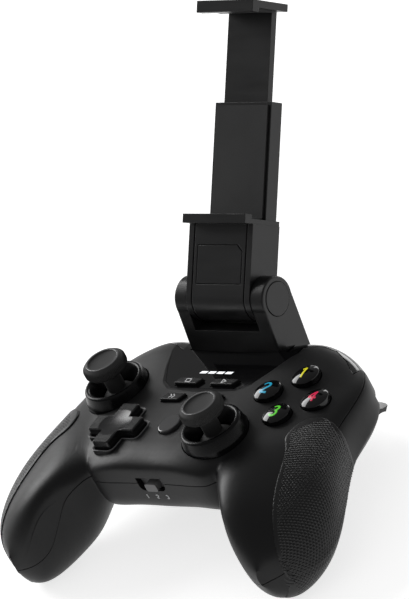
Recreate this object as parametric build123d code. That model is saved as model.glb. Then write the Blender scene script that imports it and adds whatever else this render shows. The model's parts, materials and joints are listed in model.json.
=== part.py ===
from build123d import *
import math
import os

# Game controller with a folding phone clip. Lengths are in millimetres.
# Pieces are drawn about the face plate: x to the player's right, y away from the
# player, z out of the face. They are saved standing on a table at z = 0, with the middle
# of the battery bulge's flat underside at the origin.

os.makedirs("parts", exist_ok=True)

# Body size, walls and clearances
body_width = 147.0
body_length = 96.0
body_depth = 44.0
rest_height = 42.0
wall = 2.2
inner_wall = 1.6
seam_gap = 0.3
part_gap = 0.3
fit_gap = 0.15
running_gap = 0.05
half_width = body_width / 2

# One row for each cross section, from the middle of the body out to the tip of a grip:
# inner x and y, outer x and y, height of the inner and outer edge, crown, belly, and then
# how square the crown and the belly are and how far the belly leans to the inner side.
# Places in x are shares of half the width, in y of the length and in z of the depth.
station_shares = (
    (0.000, -0.240, 0.000, 0.415, -0.205, -0.215, 0.235, 0.480, 6.0, 4.0, 0.30),
    (0.190, -0.243, 0.204, 0.448, -0.198, -0.225, 0.228, 0.485, 6.0, 4.0, 0.30),
    (0.347, -0.240, 0.483, 0.490, -0.215, -0.205, 0.209, 0.455, 5.0, 3.6, 0.20),
    (0.401, -0.219, 0.803, 0.359, -0.250, -0.340, 0.243, 0.364, 4.1, 2.5, -0.10),
    (0.449, -0.271, 0.871, 0.120, -0.284, -0.398, 0.290, 0.443, 3.6, 2.0, -0.40),
    (0.517, -0.333, 0.973, -0.135, -0.261, -0.500, 0.259, 0.545, 3.4, 1.9, -0.40),
    (0.592, -0.413, 0.989, -0.318, -0.330, -0.625, 0.241, 0.477, 2.6, 2.0, -0.40),
    (0.680, -0.479, 0.884, -0.438, -0.545, -0.625, 0.195, 0.273, 2.2, 2.0, -0.10),
    (0.769, -0.504, 0.796, -0.488, -0.614, -0.614, 0.090, 0.070, 2.0, 2.0, 0.00),
)
section_points = 20

# Seam between the shells, seen from the side: y as shares of the length, z of the depth
seam_shares = (
    (0.650, -0.180),
    (0.300, -0.180),
    (-0.180, -0.178),
    (-0.260, -0.185),
    (-0.310, -0.240),
    (-0.345, -0.345),
    (-0.382, -0.480),
    (-0.420, -0.590),
    (-0.470, -0.640),
    (-0.540, -0.650),
)

# Battery bulge under the body
bulge_width = 60.0
bulge_front = 8.0
bulge_back = 35.0
bulge_top = -22.0
bulge_round = 4.0
rest_y = (bulge_front + bulge_back) / 2

# Main board
board_top = -11.9
board_thickness = 1.3
board_width = 100.0
board_front = -18.5
board_back = 31.0
mat_thickness = 1.0

# Thumb sticks
stick_places = {"left": (-40.0, 17.2, 3.7), "right": (22.0, -5.5, 4.9)}
collar_base_r = 12.2
collar_top_r = 11.0
collar_mouth_r = 9.7
collar_bowl_r = 9.0
collar_stand = 5.0
collar_sink = 4.0
collar_round = 0.5
stick_pivot_depth = 11.0
cap_stand = 9.2
cap_thickness = 5.2
cap_r = 8.1
cap_dish_r = 5.4
cap_dish_depth = 0.9
neck_r = 3.3
dome_r = 8.2
dome_wall = 1.0
dome_reach = 50.0
shaft_r = 1.8
stick_click = 0.5
module_size = 14.6
module_wall = 1.6
module_rise = 1.5
yoke_outer_r = 4.6
yoke_inner_r = 2.9
yoke_thickness = 2.4
yoke_axle_r = 0.9
stick_pin_r = 0.6
lower_yoke_drop = 3.2
lower_yoke_thickness = 0.8
lower_yoke_width = 3.6
shaft_tip_r = 1.0
shaft_tip_drop = 3.9
shaft_shoulder = 2.0
shaft_head = 2.6
stick_tilt = 15.0

# Direction pad
dpad_place = (-22.0, -5.8)
dpad_arm_length = 10.5
dpad_arm_width = 3.7
dpad_top = 4.2
dpad_skirt = 2.6
dpad_well_gap = 0.8
dpad_lip_width = 0.7
dpad_lip_height = 0.7
dpad_round_share = 0.55
dpad_dish_r = 32.0
dpad_dish_depth = 0.7
dpad_hub_r = 3.2
dpad_hub_drop = 1.4
dpad_pivot_z = -3.4
dpad_post_r = 1.4
dpad_ring_r = 3.0
dpad_ring_thickness = 1.2
dpad_leg_r = 1.1
dpad_leg_stand = 1.0

# Round face buttons
pad_centre = (40.3, 17.1)
pad_radius = 9.85
face_button_r = 5.2
face_button_stand = 2.6
face_dome_rise = 1.3
face_button_press = 1.2
guide_wall = 1.1
guide_drop = 3.4
flange_rim = 0.9
flange_thickness = 0.8
leg_r = 1.2

# Small buttons on the face and on the centre panel
small_press = 0.6
home_size = (8.0, 9.5)
home_y = -2.9
home_stand = 1.2
turbo_size = (8.5, 3.6)
turbo_x = 8.7
turbo_y = 11.5
turbo_stand = 1.3
menu_size = (10.4, 3.0)
menu_x = 8.25
menu_y = 20.8
menu_stand = 1.3
menu_slant = 1.8
small_round = 0.4

# Centre panel in its recess: the floor's corners on the right side, as shares in plan
panel_shares = ((0.211, 0.190), (0.272, 0.223), (0.327, 0.297), (0.395, 0.401), (0.395, 0.479))
panel_floor = 0.2
panel_thickness = 1.2
panel_backing = 1.8
recess_slope = 3.0
panel_margin = 0.9
led_y = 26.7
led_pitch = 3.9
led_size = (2.9, 1.1)
led_slant = 0.6
led_count = 4

# Mode switch in the front wall
switch_height = -8.45
switch_window = (11.8, 5.5)
switch_knob = (5.2, 3.2)
switch_travel = 2.4
switch_proud = 0.7
switch_plate = (15.0, 7.0, 1.0)
switch_drop = 1.0

# Shoulder bumpers: the edge where the right one meets the face, as shares in plan
bumper_shares = (
    (0.327, 0.401),
    (0.408, 0.4375),
    (0.490, 0.456),
    (0.571, 0.448),
    (0.653, 0.411),
    (0.741, 0.351),
)
bumper_bottom = -14.0
bumper_gap = 0.4
bumper_bay_depth = 2.0
bumper_peg_r = 1.2
bumper_peg_x = 27.0
bumper_peg_z = -11.0
bumper_peg_length = 3.2

# Triggers
trigger_inner = 35.6
trigger_outer = 58.8
trigger_top = -15.4
trigger_pivot = (29.6, -18.5)
trigger_hub_r = 2.8
# Side views along a trigger: place along its width, rear as a share of the body's
# length and drop as a share of its depth
trigger_shares = ((0.0, 0.475, 0.352), (0.49, 0.433, 0.273), (1.0, 0.348, 0.143))
trigger_flare = 4.2
trigger_tip = 2.0
trigger_waist = 0.7
trigger_side_gap = 0.4
trigger_bay_front = 25.2
trigger_bay_top = -15.0
trigger_pin_r = 1.2
trigger_spring_width = 2.4
trigger_spring_wall = 1.0

# Textured side grips: y as a share of the length, then q, which runs down the side at 45
# degrees, as a share of half the width
grip_thickness = 0.5
grip_region_start = 14.0
grip_shares = (
    (0.004, 0.506),
    (0.102, 0.593),
    (0.092, 0.707),
    (0.052, 0.844),
    (-0.031, 0.980),
    (-0.156, 1.061),
    (-0.292, 1.088),
    (-0.406, 1.048),
    (-0.454, 0.878),
    (-0.423, 0.782),
    (-0.372, 0.716),
    (-0.308, 0.659),
    (-0.196, 0.596),
    (-0.073, 0.536),
)

# Rumble motors in the grips
motor_place = (57.0, -22.0, -24.0)
motor_r = 5.5
motor_length = 11.0
motor_shaft_r = 0.9
weight_r = 5.0
weight_thickness = 4.0
weight_gap = 0.8
cradle_length = 6.0

# Battery, charging socket and screws
battery_size = (34.0, 13.0, 8.0)
battery_y = 18.6
socket_size = (9.0, 7.2, 3.2)
socket_height = -34.5
socket_wall = 0.4
socket_tongue = 0.7
socket_ledge = 11.0
# Places in plan, as shares of half the width and of the length
screw_shares = ((0.626, -0.125), (0.286, 0.135), (-0.286, 0.135), (-0.626, -0.125), (0.0, -0.156))
screw_r = 1.2
screw_head_r = 2.4
screw_head_height = 1.6
post_r = 2.6

# Phone clip: lower arm
hinge_place = (49.3, 15.1)
arm_width = 41.0
ear_thickness = 5.5
ear_r = 7.9
arm_base_front = (38.2, -3.0)
arm_base_back = (52.2, -16.0)
arm_base_bottom = -25.0
arm_base_depth = 36.6
web_top = 7.8
hinge_pin_r = 2.0
cap_disc_r = 6.0
cap_disc_thickness = 1.4
cap_disc_proud = 0.2

# Phone clip: upper arm, drawn from the hinge up along its own length
arm_lean = 42.7
barrel_r = 8.1
arm_depth = 14.0
shelf_height = 27.85
shelf_thickness = 2.5
shelf_width = 29.0
lip_reach = 4.0
lip_thickness = 3.4
lip_rise = 0.7
phone_slot = 7.65
plate_width = 26.0
plate_height = 40.5
slider_width = 20.0
slider_thickness = 2.6
slider_gap = 0.2
slider_cover = 1.1
clamp_opening = 71.5
clamp_close = 20.0
slider_overlap = 32.5
jaw_thickness = 2.65
jaw_back = 6.7
pad_thickness = 0.8
spring_r = 1.3
spring_width = 12.0
groove_inset = 2.3
groove_width = 0.6
groove_depth = 0.5
engraving_size = (21.0, 14.0)
engraving_clip = 2.2
engraving_line = 0.35
engraving_base = 4.2
edge_round = 0.6

# How far a cut runs past what it cuts
overreach = 2.0


def block(x, y, z):
    """A box between the low and the high value on each axis."""
    size = [high - low for low, high in (x, y, z)]
    middle = [(low + high) / 2 for low, high in (x, y, z)]
    return Pos(*middle) * Box(*size)


def post(x, y, r, low, high):
    """An upright cylinder."""
    return Pos(x, y, (low + high) / 2) * Cylinder(r, high - low)


def rod_x(y, z, r, left, right):
    """A cylinder along x."""
    return Pos((left + right) / 2, y, z) * Rot(0, 90, 0) * Cylinder(r, right - left)


def rod_y(x, z, r, front, back):
    """A cylinder along y."""
    return Pos(x, (front + back) / 2, z) * Rot(90, 0, 0) * Cylinder(r, back - front)


def prism(points, low, high):
    """A straight-sided outline in x and y, raised from low to high."""
    return Pos(0, 0, low) * extrude(make_face(Polyline(*points, close=True)), high - low)


def side_prism(face, left, right):
    """A face drawn in y and z, carried along x."""
    return Pos(left, 0, 0) * extrude(Plane.YZ * face, right - left)


def mirrored(points):
    """The points of a right half, then the same points on the left, going round."""
    return [*points, *[(-x, y) for x, y in reversed(points)]]


def flip(shape):
    return mirror(shape, Plane.YZ)


def save(name, shape):
    """Writes one piece, moved so that the bulge's flat underside is centred on the origin."""
    lifted = Pos(0, -rest_y, rest_height) * shape
    solids = lifted.solids() if hasattr(lifted, "solids") else list(lifted)
    export_step(solids[0] if len(solids) == 1 else Compound(solids), f"parts/{name}.step")


def section_wire(row, inset):
    """One closed section: a rounded box, with its crown and its belly as one spline each."""
    x_in, y_in, x_out, y_out = [
        share * size for share, size in zip(row[:4], (half_width, body_length) * 2)
    ]
    z_in, z_out, crown, belly = [share * body_depth for share in row[4:8]]
    crown_power, belly_power, skew = row[8:]
    half = math.hypot(x_out - x_in, y_out - y_in) / 2
    keep = max(half - inset, seam_gap) / half
    edges = []
    for rise, power, lean, side in (
        (crown - inset, crown_power, 0, 1),
        (belly - inset, belly_power, skew, -1),
    ):
        points = []
        for step in range(section_points + 1):
            turn = math.pi * step / section_points
            c, s = side * math.cos(turn), math.sin(turn)
            reach = (abs(c) ** power + s**power) ** (-1 / power)
            across = side if step == 0 else -side if step == section_points else c * reach
            up = 0 if step in (0, section_points) else s * reach
            points.append(
                Vector(
                    (x_in + x_out) / 2 + across * keep * (x_out - x_in) / 2,
                    (y_in + y_out) / 2 + across * keep * (y_out - y_in) / 2,
                    (z_in + z_out) / 2
                    + across * keep * (z_out - z_in) / 2
                    + side * rise * up * (1 + lean * across),
                )
            )
        ends = [Vector(0, 0, side), Vector(0, 0, -side)]
        places = [step / section_points for step in range(section_points + 1)]
        edges.append(Edge.make_spline(points, tangents=ends, parameters=places))
    return Wire(edges)


def body_form(inset):
    """The whole body as one smooth form, drawn in by inset all round."""
    left = [(-row[0], row[1], -row[2], *row[3:]) for row in reversed(station_shares[1:])]
    return Solid.make_loft([section_wire(row, inset) for row in (*left, *station_shares)])


def in_plan(shares):
    """Places in plan, from shares of half the width and of the length."""
    return [(x * half_width, y * body_length) for x, y in shares]


screw_places = in_plan(screw_shares)
panel_corners = in_plan(panel_shares)
bumper_edge = in_plan(bumper_shares)
outer_form = body_form(0)
inner_form = body_form(wall)
tip_y = station_shares[-1][3] * body_length


def face_height(x, y):
    """Height of the face plate's surface over a point."""
    hits = outer_form.find_intersection_points(Axis((x, y, 0), (0, 0, 1)))
    return max(point.Z for point, _ in hits)


def seam_side():
    """Everything above the seam between the shells."""
    places = [(y * body_length, z * body_depth) for y, z in seam_shares]
    curve = Spline(*places)
    back, front = places[0], places[-1]
    rim = Polyline(front, (front[0], body_depth), (back[0], body_depth), back)
    return side_prism(make_face(curve + rim), -body_width, body_width)


def arm_side_face(grow):
    """Side view of the lower arm, its boss and its foot, grown by a clearance."""
    base = [
        (arm_base_depth - grow, arm_base_bottom - grow),
        (arm_base_back[0] + grow, arm_base_bottom - grow),
        (arm_base_back[0] + grow, arm_base_back[1]),
        (hinge_place[0] + ear_r + grow, hinge_place[1]),
        (hinge_place[0] - ear_r - grow, hinge_place[1]),
        (arm_base_front[0] - grow, arm_base_front[1]),
    ]
    boss = Pos(*hinge_place) * Circle(ear_r + grow)
    return make_face(Polyline(*base, close=True)) + boss


def bumper_bay(grow):
    """Room for a bumper on the right: everything behind the edge that the face keeps."""
    edge = [(x, y - grow) for x, y in bumper_edge]
    far = body_length
    outline = [
        (edge[0][0] - grow, edge[0][1]),
        *edge[1:-1],
        (edge[-1][0] + grow, edge[-1][1]),
        (edge[-1][0] + grow, far),
        (edge[0][0] - grow, far),
    ]
    return prism(outline, -body_depth - grow, body_depth)


def trigger_bay(grow):
    """Room for a trigger on the right, open at the back and below."""
    return block(
        (trigger_inner - trigger_side_gap - grow, trigger_outer + trigger_side_gap + grow),
        (trigger_bay_front - grow, body_length),
        (-body_depth - overreach, trigger_bay_top + grow),
    )


def both(shape):
    return shape + flip(shape)


def bays(grow):
    """All the room cut into the body from behind: bumpers, triggers and the clip's foot."""
    upper = bumper_bay(grow) & block(
        (0, body_width), (0, body_length), (trigger_bay_top - grow, body_depth)
    )
    foot = side_prism(
        arm_side_face(grow + fit_gap),
        -arm_width / 2 - fit_gap - grow,
        arm_width / 2 + fit_gap + grow,
    )
    return both(upper + trigger_bay(grow)) + foot


def bulge(grow):
    """The battery's bulge under the body."""
    form = block(
        (-bulge_width / 2 + grow, bulge_width / 2 - grow),
        (bulge_front + grow, bulge_back - grow),
        (-rest_height + grow, bulge_top - grow),
    )
    sides = form.edges().filter_by(Axis.Z) + form.edges().group_by(Axis.Z)[0]
    return fillet(sides, bulge_round - grow)


def grip_region(grow):
    """The leaf-shaped region of the right side grip, seen along its 45 degree line."""
    around = [Vector(y * body_length, -q * half_width) for y, q in grip_shares]
    pairs = zip(around[-1:] + around[:-1], around[1:] + around[:1])
    aside = [Vector(0, 0, grow).cross((after - before).normalized()) for before, after in pairs]
    corner = [point + move for point, move in zip(around, aside)]
    face = make_face(Spline(*corner, periodic=True))
    start = grip_region_start / math.sqrt(2)
    place = Plane(origin=(start, 0, start), x_dir=(0, 1, 0), z_dir=(1, 0, 1))
    return extrude(place * face, body_width)


def outline(kind, size, place, grow=0.0):
    """Plan outline of a small button: an oval, or a slanted bar."""
    w, d = [value / 2 + grow for value in size]
    if kind == "oval":
        return Pos(*place) * Ellipse(w, d)
    slant = menu_slant / 2
    corners = [(-w - slant, -d), (w - slant, -d), (w + slant, d), (-w + slant, d)]
    bar = make_face(Polyline(*corners, close=True))
    return Pos(*place) * fillet(bar.vertices(), small_round)


# Each small button: its name, outline, size, place and how far it stands out
small_buttons = (
    ("home_button", "oval", home_size, (0, home_y), home_stand),
    ("turbo_button", "bar", turbo_size, (-turbo_x, turbo_y), turbo_stand),
    ("clear_button", "bar", turbo_size, (turbo_x, turbo_y), turbo_stand),
    ("select_button", "bar", menu_size, (-menu_x, menu_y), menu_stand),
    ("start_button", "bar", menu_size, (menu_x, menu_y), menu_stand),
)
face_buttons = tuple(
    (name, pad_centre[0] + pad_radius * dx, pad_centre[1] + pad_radius * dy)
    for name, dx, dy in (
        ("north_button", 0, 1),
        ("west_button", -1, 0),
        ("south_button", 0, -1),
        ("east_button", 1, 0),
    )
)
mat_top = board_top + mat_thickness


def cross(length, width, low, high, round_r):
    """A plus-shaped prism at the direction pad's place."""
    plus = Rectangle(2 * length, 2 * width) + Rectangle(2 * width, 2 * length)
    ends = [v for v in plus.vertices() if max(abs(v.X), abs(v.Y)) > length - width]
    plus = fillet(ends, round_r)
    return Pos(*dpad_place, low) * extrude(plus, high - low)


def panel_floor_face(grow):
    """Plan of the centre panel's flat floor."""
    plan = make_face(Polyline(*mirrored(panel_corners), close=True))
    plan = fillet(plan.vertices().group_by(Axis.Y)[0], edge_round * 2)
    return offset(plan, grow) if grow else plan


def panel_recess():
    """The recess over the panel, with gently sloping sides."""
    floor = Pos(0, 0, panel_floor) * panel_floor_face(0)
    rise = face_height(0, menu_y) - panel_floor
    wide = Pos(0, 0, panel_floor + rise) * panel_floor_face(recess_slope)
    top = extrude(wide, body_depth)
    return loft([floor, wide], ruled=True) + top


def led_windows(grow, low, high):
    """The row of slanted indicator windows."""
    w, d = [value / 2 + grow for value in led_size]
    corners = [
        (-w - led_slant / 2, -d),
        (w - led_slant / 2, -d),
        (w + led_slant / 2, d),
        (-w + led_slant / 2, d),
    ]
    bars = []
    for index in range(led_count):
        shift = (index - (led_count - 1) / 2) * led_pitch
        bars.append(prism([(x + shift, y + led_y) for x, y in corners], low, high))
    return bars


def edge_y(x, points):
    """Where a polyline of x, y points crosses x."""
    for (x0, y0), (x1, y1) in zip(points, points[1:]):
        if x0 <= x <= x1:
            return y0 + (y1 - y0) * (x - x0) / (x1 - x0)
    return points[-1][1]


def belly_height(x, y):
    """Height of the underside over a point."""
    hits = body_solid.find_intersection_points(Axis((x, y, -body_depth), (0, 0, 1)))
    return min(point.Z for point, _ in hits)


def cut_in_turn(shape, rounds):
    """Cuts one group of pieces after another, so that no two pieces of a group meet."""
    for group in rounds:
        shape = shape - group
    return shape


# Body shells
bulge_form = bulge(0)
body_solid = (outer_form + bulge_form) & block(
    (-body_width, body_width), (-body_length, body_length), (-rest_height, body_depth)
)
body_solid = body_solid - bays(0)
cavity = (inner_form + bulge(wall)) & block(
    (-body_width, body_width), (tip_y + wall, body_length), (-rest_height + wall, body_depth)
)
cavity = cavity - bays(inner_wall)
hollow = body_solid - cavity
above = seam_side()
below = Pos(0, 0, -seam_gap) * above

# Side grips: thin pads on the outside of the shells
right_grip = body_form(-running_gap - grip_thickness) & grip_region(0)
right_grip = right_grip - body_form(-running_gap)

# What is added to the shells, and what is cut out of them
top_adds, top_cuts, bottom_adds, bottom_cuts = [], [], [], []
panel_cuts, menu_cuts, head_cuts = [], [], []
middle_form = body_form(wall / 2) + bulge(wall / 2)

# The plate under the centre panel
backing_low = panel_floor - panel_thickness - panel_backing
backing = extrude(Pos(0, 0, backing_low) * panel_floor_face(panel_margin), panel_backing)
top_adds.append(backing & body_form(wall - overreach) - bays(0))
panel_seat = Pos(0, 0, panel_floor - panel_thickness) * panel_floor_face(fit_gap)
panel_cuts.append(extrude(panel_seat, body_depth / 4))

# Posts that carry the board and take the screws
for x, y in screw_places:
    base = belly_height(x, y)
    top_adds.append(post(x, y, post_r, board_top, body_depth) & middle_form)
    bottom_adds.append(
        post(x, y, post_r, -body_depth, board_top - board_thickness) & middle_form
    )
    bottom_cuts.append(post(x, y, screw_r + running_gap, base, board_top))
    head_cuts.append(
        post(x, y, screw_head_r + fit_gap, base - body_depth / 4, base + screw_head_height)
    )
    top_cuts.append(post(x, y, screw_r + running_gap, board_top - wall, -wall))

# Collars of the sticks
for x, y, mouth in stick_places.values():
    top_cuts.append(post(x, y, collar_base_r + fit_gap, -body_depth / 4, body_depth))

# The direction pad's lip and well
dpad_face = face_height(*dpad_place)
well = (dpad_arm_length + dpad_well_gap, dpad_arm_width + dpad_well_gap)
lip = (well[0] + dpad_lip_width, well[1] + dpad_lip_width)
lip_heights = (dpad_face - wall / 2, dpad_face + dpad_lip_height)
top_adds.append(cross(*lip, *lip_heights, lip[1] * dpad_round_share))
top_cuts.append(cross(*well, -body_depth / 4, body_depth, well[1] * dpad_round_share))

# Guides of the face buttons, and the holes of all buttons
for name, x, y in face_buttons:
    face = face_height(x, y)
    guide = post(x, y, face_button_r + part_gap + guide_wall, face - guide_drop, body_depth)
    top_adds.append(guide & middle_form)
    top_cuts.append(post(x, y, face_button_r + part_gap, face - body_depth / 4, body_depth))
for name, kind, size, place, stand in small_buttons:
    hole = extrude(
        Pos(0, 0, -body_depth / 8) * outline(kind, size, place, part_gap), body_depth / 4
    )
    (menu_cuts if size is menu_size else top_cuts).append(hole)

# Mode switch window through the front wall
window_w, window_h = [value / 2 for value in switch_window]
window_face = Rectangle(2 * window_w, 2 * window_h)
window_face = fillet(window_face.vertices().group_by(Axis.Y)[0], window_h * 0.8)
front_y = station_shares[0][1] * body_length
window = Pos(0, front_y + wall + overreach, switch_height) * extrude(
    Plane.XZ * window_face, 2 * (wall + overreach)
)
top_cuts.append(window)
bottom_cuts.append(window)

# Charging socket's opening in the back of the bulge
socket_w, socket_d, socket_h = socket_size
bottom_cuts.append(
    block(
        (-socket_w / 2 - fit_gap, socket_w / 2 + fit_gap),
        (bulge_back - wall - overreach, bulge_back + overreach),
        (socket_height - socket_h / 2 - fit_gap, socket_height + socket_h / 2 + fit_gap),
    )
)

socket_low = socket_height - socket_h / 2
bottom_adds.append(
    block(
        (-socket_ledge / 2, socket_ledge / 2),
        (bulge_back - wall - socket_d, bulge_back - wall / 2),
        (-rest_height + wall / 2, socket_low - fit_gap),
    )
)

# Cradles for the rumble motors
motor_x, motor_y, motor_z = motor_place
cradle = block(
    (motor_x - motor_r, motor_x + motor_r),
    (motor_y - cradle_length / 2, motor_y + cradle_length / 2),
    (-body_depth, motor_z),
)
cradle = (cradle & body_form(wall / 2)) - rod_y(
    motor_x, motor_z, motor_r + fit_gap, motor_y - cradle_length, motor_y + cradle_length
)
bottom_adds += [cradle, flip(cradle)]

# Holes for the trigger pins in the walls of their bays, and a peg for each bumper
pin_left = trigger_inner - trigger_side_gap - inner_wall
pin_right = trigger_outer + trigger_side_gap + inner_wall
pin_hole = rod_x(*trigger_pivot, trigger_pin_r + running_gap, pin_left, pin_right)
bottom_cuts += [pin_hole, flip(pin_hole)]
peg_root = edge_y(bumper_peg_x, bumper_edge)
peg_tip = peg_root + bumper_peg_length
peg = rod_y(bumper_peg_x, bumper_peg_z, bumper_peg_r, peg_root - inner_wall / 2, peg_tip)
bottom_adds += [peg, flip(peg)]


top_shell = (hollow & above) + top_adds
top_shell = cut_in_turn(top_shell, (top_cuts, [panel_recess()], panel_cuts, menu_cuts))
bottom_shell = (hollow - below) + bottom_adds
bottom_shell = cut_in_turn(bottom_shell, (bottom_cuts, head_cuts))
save("top_shell", top_shell)
save("bottom_shell", bottom_shell)
save("right_side_grip", right_grip)
save("left_side_grip", flip(right_grip))

# Centre panel and its windows
panel_low = panel_floor - panel_thickness
plate = extrude(Pos(0, 0, panel_low) * panel_floor_face(0), panel_thickness)
plate = plate & body_form(-grip_thickness) - bays(fit_gap)
holes = [
    extrude(Pos(0, 0, panel_low) * outline(kind, size, place, part_gap), body_depth)
    for name, kind, size, place, stand in small_buttons[-2:]
]
holes += led_windows(fit_gap / 3, panel_low, body_depth)
save("center_panel", plate - holes)
save("led_windows", Compound(led_windows(0, panel_low, panel_floor + fit_gap / 3)))


# Main board and the rubber mats under the buttons
board = block(
    (-board_width / 2, board_width / 2),
    (board_front, board_back),
    (board_top - board_thickness, board_top),
)
board = board - [
    post(x, y, screw_r + fit_gap, board_top - 2 * board_thickness, mat_top)
    for x, y in screw_places
]
save("main_board", board)


def mat(left, right, front, back):
    return block((left, right), (front, back), (board_top, mat_top))


pad_reach = pad_radius + face_button_r - part_gap
menu_reach = menu_x + menu_size[0] / 2
mats = [
    mat(
        pad_centre[0] - pad_reach,
        pad_centre[0] + pad_reach - part_gap,
        pad_centre[1] - pad_reach,
        board_back,
    ),
    mat(
        dpad_place[0] - dpad_arm_length,
        dpad_place[0] + dpad_arm_length,
        dpad_place[1] - dpad_arm_length,
        dpad_place[1] + dpad_arm_length,
    ),
    mat(
        -turbo_x - leg_r - part_gap,
        turbo_x + leg_r + part_gap,
        home_y - home_size[1] / 2,
        turbo_y + turbo_size[1] / 2,
    ),
    mat(-menu_reach, menu_reach, menu_y - menu_size[1], menu_y + menu_size[1]),
]
mats[1] = mats[1] - post(*dpad_place, dpad_post_r + fit_gap, board_top, mat_top)
save("keypad_mats", Compound(mats))


def turned(points, x, y, z):
    """A closed profile of radius and height, turned about an upright axis."""
    face = make_face(Plane.XZ * Polyline(*points, close=True))
    return Pos(x, y, z) * revolve(face, Axis.Z)


def stick_collar(x, y, mouth):
    low = -collar_stand - collar_sink
    profile = [
        (collar_bowl_r, low),
        (collar_base_r, low),
        (collar_base_r, -collar_stand + collar_round),
        (collar_top_r, -collar_round),
        (collar_top_r - collar_round, 0),
        (collar_mouth_r, 0),
        (collar_mouth_r - collar_round / 2, -collar_round),
        (collar_bowl_r, -collar_stand / 2),
    ]
    return turned(profile, x, y, mouth)


def stick_cap(x, y, mouth):
    """Rubber cap, its neck, and the dome that closes the collar below it."""
    rim = cap_stand - cap_thickness
    bevel = cap_thickness / 4
    shoulder = math.sqrt(dome_r**2 - neck_r**2) - stick_pivot_depth
    profile = [
        (0, shoulder),
        (neck_r, shoulder),
        (neck_r, rim + bevel / 2),
        (neck_r + bevel, rim),
        (cap_r - bevel, rim),
        (cap_r, rim + bevel),
        (cap_r, cap_stand - bevel),
        (cap_r - bevel, cap_stand - bevel / 4),
        (cap_dish_r + bevel, cap_stand),
        (cap_dish_r, cap_stand - cap_dish_depth / 3),
        (cap_dish_r / 2, cap_stand - cap_dish_depth * 0.9),
        (0, cap_stand - cap_dish_depth),
    ]
    dome = Sphere(dome_r) - Sphere(dome_r - dome_wall)
    skirt = dome_r * math.cos(math.radians(dome_reach))
    dome = dome & block((-dome_r, dome_r), (-dome_r, dome_r), (skirt, dome_r))
    cap = turned(profile, x, y, mouth) + Pos(x, y, mouth - stick_pivot_depth) * dome
    top = mouth + cap_stand - shaft_head
    return cap - post(x, y, shaft_r + running_gap, mouth - stick_pivot_depth, top)


def stick_shaft(x, y, mouth):
    """Shaft inside the cap, slotted for the pin that it tilts and clicks on."""
    pivot = mouth - stick_pivot_depth
    top = mouth + cap_stand - shaft_head - running_gap
    shaft = post(x, y, shaft_r, pivot - shaft_shoulder, top)
    shaft += post(x, y, shaft_tip_r, pivot - shaft_tip_drop, pivot)
    slot = stick_pin_r + running_gap
    return shaft - block(
        (x - slot, x + slot), (y - shaft_r, y + shaft_r), (pivot - slot, pivot + slot + stick_click)
    )


def stick_frame(x, y, mouth):
    pivot = mouth - stick_pivot_depth
    outer, inner = module_size / 2, module_size / 2 - module_wall
    frame = block((x - outer, x + outer), (y - outer, y + outer), (board_top, pivot + module_rise))
    frame -= block((x - inner, x + inner), (y - inner, y + inner), (board_top - wall, pivot + wall))
    hole = yoke_axle_r + running_gap
    return frame - [
        rod_x(y, pivot, hole, x - outer - wall, x + outer + wall),
        rod_y(x, pivot, hole, y - outer - wall, y + outer + wall),
    ]


def upper_yoke(x, y, mouth):
    """Ring round the shaft, with an axle to each side."""
    pivot = mouth - stick_pivot_depth
    low, high = pivot - yoke_thickness / 2, pivot + yoke_thickness / 2
    reach = module_size / 2 - running_gap
    ring = post(x, y, yoke_outer_r, low, high)
    ring += rod_x(y, pivot, yoke_axle_r, x - reach, x + reach)
    ring -= post(x, y, yoke_inner_r, low - wall, high + wall)
    return ring - rod_y(x, pivot, stick_pin_r + running_gap, y - yoke_outer_r, y + yoke_outer_r)


def lower_yoke(x, y, mouth):
    """Strap under the ring, hung on its own axles, with a slot for the shaft's tip."""
    pivot = mouth - stick_pivot_depth
    inner = module_size / 2 - module_wall - part_gap
    arm = yoke_outer_r + part_gap
    half = lower_yoke_width / 2
    floor = pivot - lower_yoke_drop
    strap = block((x - half, x + half), (y - inner, y + inner), (floor - lower_yoke_thickness, floor))
    reach = module_size / 2 - running_gap
    slot_y = shaft_tip_drop * math.sin(math.radians(stick_tilt)) + shaft_tip_r + part_gap
    slot_x = shaft_tip_r + fit_gap
    for side in (-1, 1):
        near, far = sorted((y + side * arm, y + side * inner))
        strap += block((x - half, x + half), (near, far), (floor - lower_yoke_thickness, pivot))
        near, far = sorted((y + side * arm, y + side * reach))
        strap += rod_y(x, pivot, yoke_axle_r, near, far)
    return strap - block(
        (x - slot_x, x + slot_x), (y - slot_y, y + slot_y), (floor - wall, floor + wall)
    )


for name, place in stick_places.items():
    x, y, mouth = place
    pivot = mouth - stick_pivot_depth
    save(f"{name}_stick_collar", stick_collar(*place))
    save(f"{name}_stick_cap", stick_cap(*place))
    save(f"{name}_stick_shaft", stick_shaft(*place))
    save(f"{name}_stick_frame", stick_frame(*place))
    save(f"{name}_upper_yoke", upper_yoke(*place))
    save(f"{name}_lower_yoke", lower_yoke(*place))
    pin_reach = yoke_outer_r - running_gap
    save(f"{name}_stick_pin", rod_y(x, pivot, stick_pin_r, y - pin_reach, y + pin_reach))

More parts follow.
